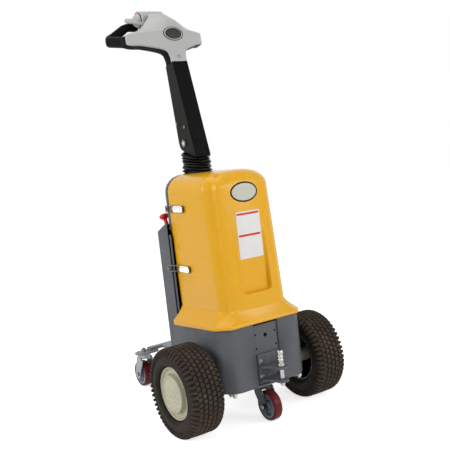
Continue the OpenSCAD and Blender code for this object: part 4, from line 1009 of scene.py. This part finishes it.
# Camera: turn, pitch and roll in degrees, place in metres, focal length in mm on a sensor 36 mm wide
VIEW_ANGLES, VIEW_PLACE, VIEW_LENS = (-33.0725, 5.9472, -6.4078), (-1.31714, -2.18791, 0.86326), 60.66
FLOOR_GLOW, WORLD_LIGHT = 0.70, 0.36


def area_light(name, place, aim, size, power):
    """A round soft lamp at a place, aimed at a point."""
    lamp = bpy.data.lights.new(name, "AREA")
    lamp.shape = "DISK"
    lamp.size = size
    lamp.energy = power
    holder = placed(name, lamp)
    holder.location = place
    holder.rotation_euler = (Vector(aim) - Vector(place)).to_track_quat("-Z", "Y").to_euler()


def seen_level(tree, low, high, socket):
    """Sets a socket to high for rays from the camera and those that metal and glass send on, else to low."""
    rays = tree.nodes.new("ShaderNodeLightPath").outputs
    seen = rays["Is Camera Ray"]
    for kind in ("Is Glossy Ray", "Is Transmission Ray"):
        most = tree.nodes.new("ShaderNodeMath")
        most.operation = "MAXIMUM"
        tree.links.new(seen, most.inputs[0])
        tree.links.new(rays[kind], most.inputs[1])
        seen = most.outputs[0]
    level = tree.nodes.new("ShaderNodeMapRange")
    level.inputs["To Min"].default_value = low
    level.inputs["To Max"].default_value = high
    tree.links.new(seen, level.inputs["Value"])
    tree.links.new(level.outputs["Result"], socket)


def studio():
    """White surroundings, a pale floor that keeps the shadow, and the lamps."""
    world = bpy.data.worlds.new("studio")
    bpy.context.scene.world = world
    world.use_nodes = True
    back = world.node_tree.nodes["Background"]
    back.inputs["Color"].default_value = (1, 1, 1, 1)
    seen_level(world.node_tree, WORLD_LIGHT, 1.0, back.inputs["Strength"])

    t = np.linspace(-9, 9, 3)
    x, y = np.meshgrid(t, t, indexing="ij")
    points, quads = patch(np.stack([x, y, 0 * x - 0.0005], -1))
    mesh = bpy.data.meshes.new("floor")
    mesh.from_pydata(points.tolist(), [], quads.tolist())
    floor = placed("floor", mesh)
    paint = bpy.data.materials.new("floor_white")
    paint.use_nodes = True
    shader = paint.node_tree.nodes["Principled BSDF"]
    shader.inputs["Base Color"].default_value = (0.86, 0.86, 0.86, 1)
    shader.inputs["Roughness"].default_value = 0.9
    shader.inputs["Specular IOR Level"].default_value = 0.0
    shader.inputs["Emission Color"].default_value = (1, 1, 1, 1)
    seen_level(paint.node_tree, 0.0, FLOOR_GLOW, shader.inputs["Emission Strength"])
    mesh.materials.append(paint)

    for lamp in LAMPS:
        area_light(*lamp)


def camera():
    """The photograph's viewpoint: its back axis is (sin a cos e, -cos a cos e, sin e) for turn a and pitch e,
    and the roll turns right and up about it."""
    a, e, r = (math.radians(v) for v in VIEW_ANGLES)
    back = Vector((math.sin(a) * math.cos(e), -math.cos(a) * math.cos(e), math.sin(e)))
    right = Vector((math.cos(a), math.sin(a), 0))
    up = back.cross(right)
    across = math.cos(r) * right + math.sin(r) * up
    upright = math.cos(r) * up - math.sin(r) * right
    lens = bpy.data.cameras.new("camera")
    lens.sensor_width = 36
    lens.lens = VIEW_LENS
    holder = placed("camera", lens)
    turn = Matrix((across, upright, back)).transposed().to_4x4()
    holder.matrix_world = Matrix.Translation(VIEW_PLACE) @ turn
    bpy.context.scene.camera = holder


studio()
camera()
bpy.context.scene.view_settings.view_transform = "Standard"
bpy.context.view_layer.update()
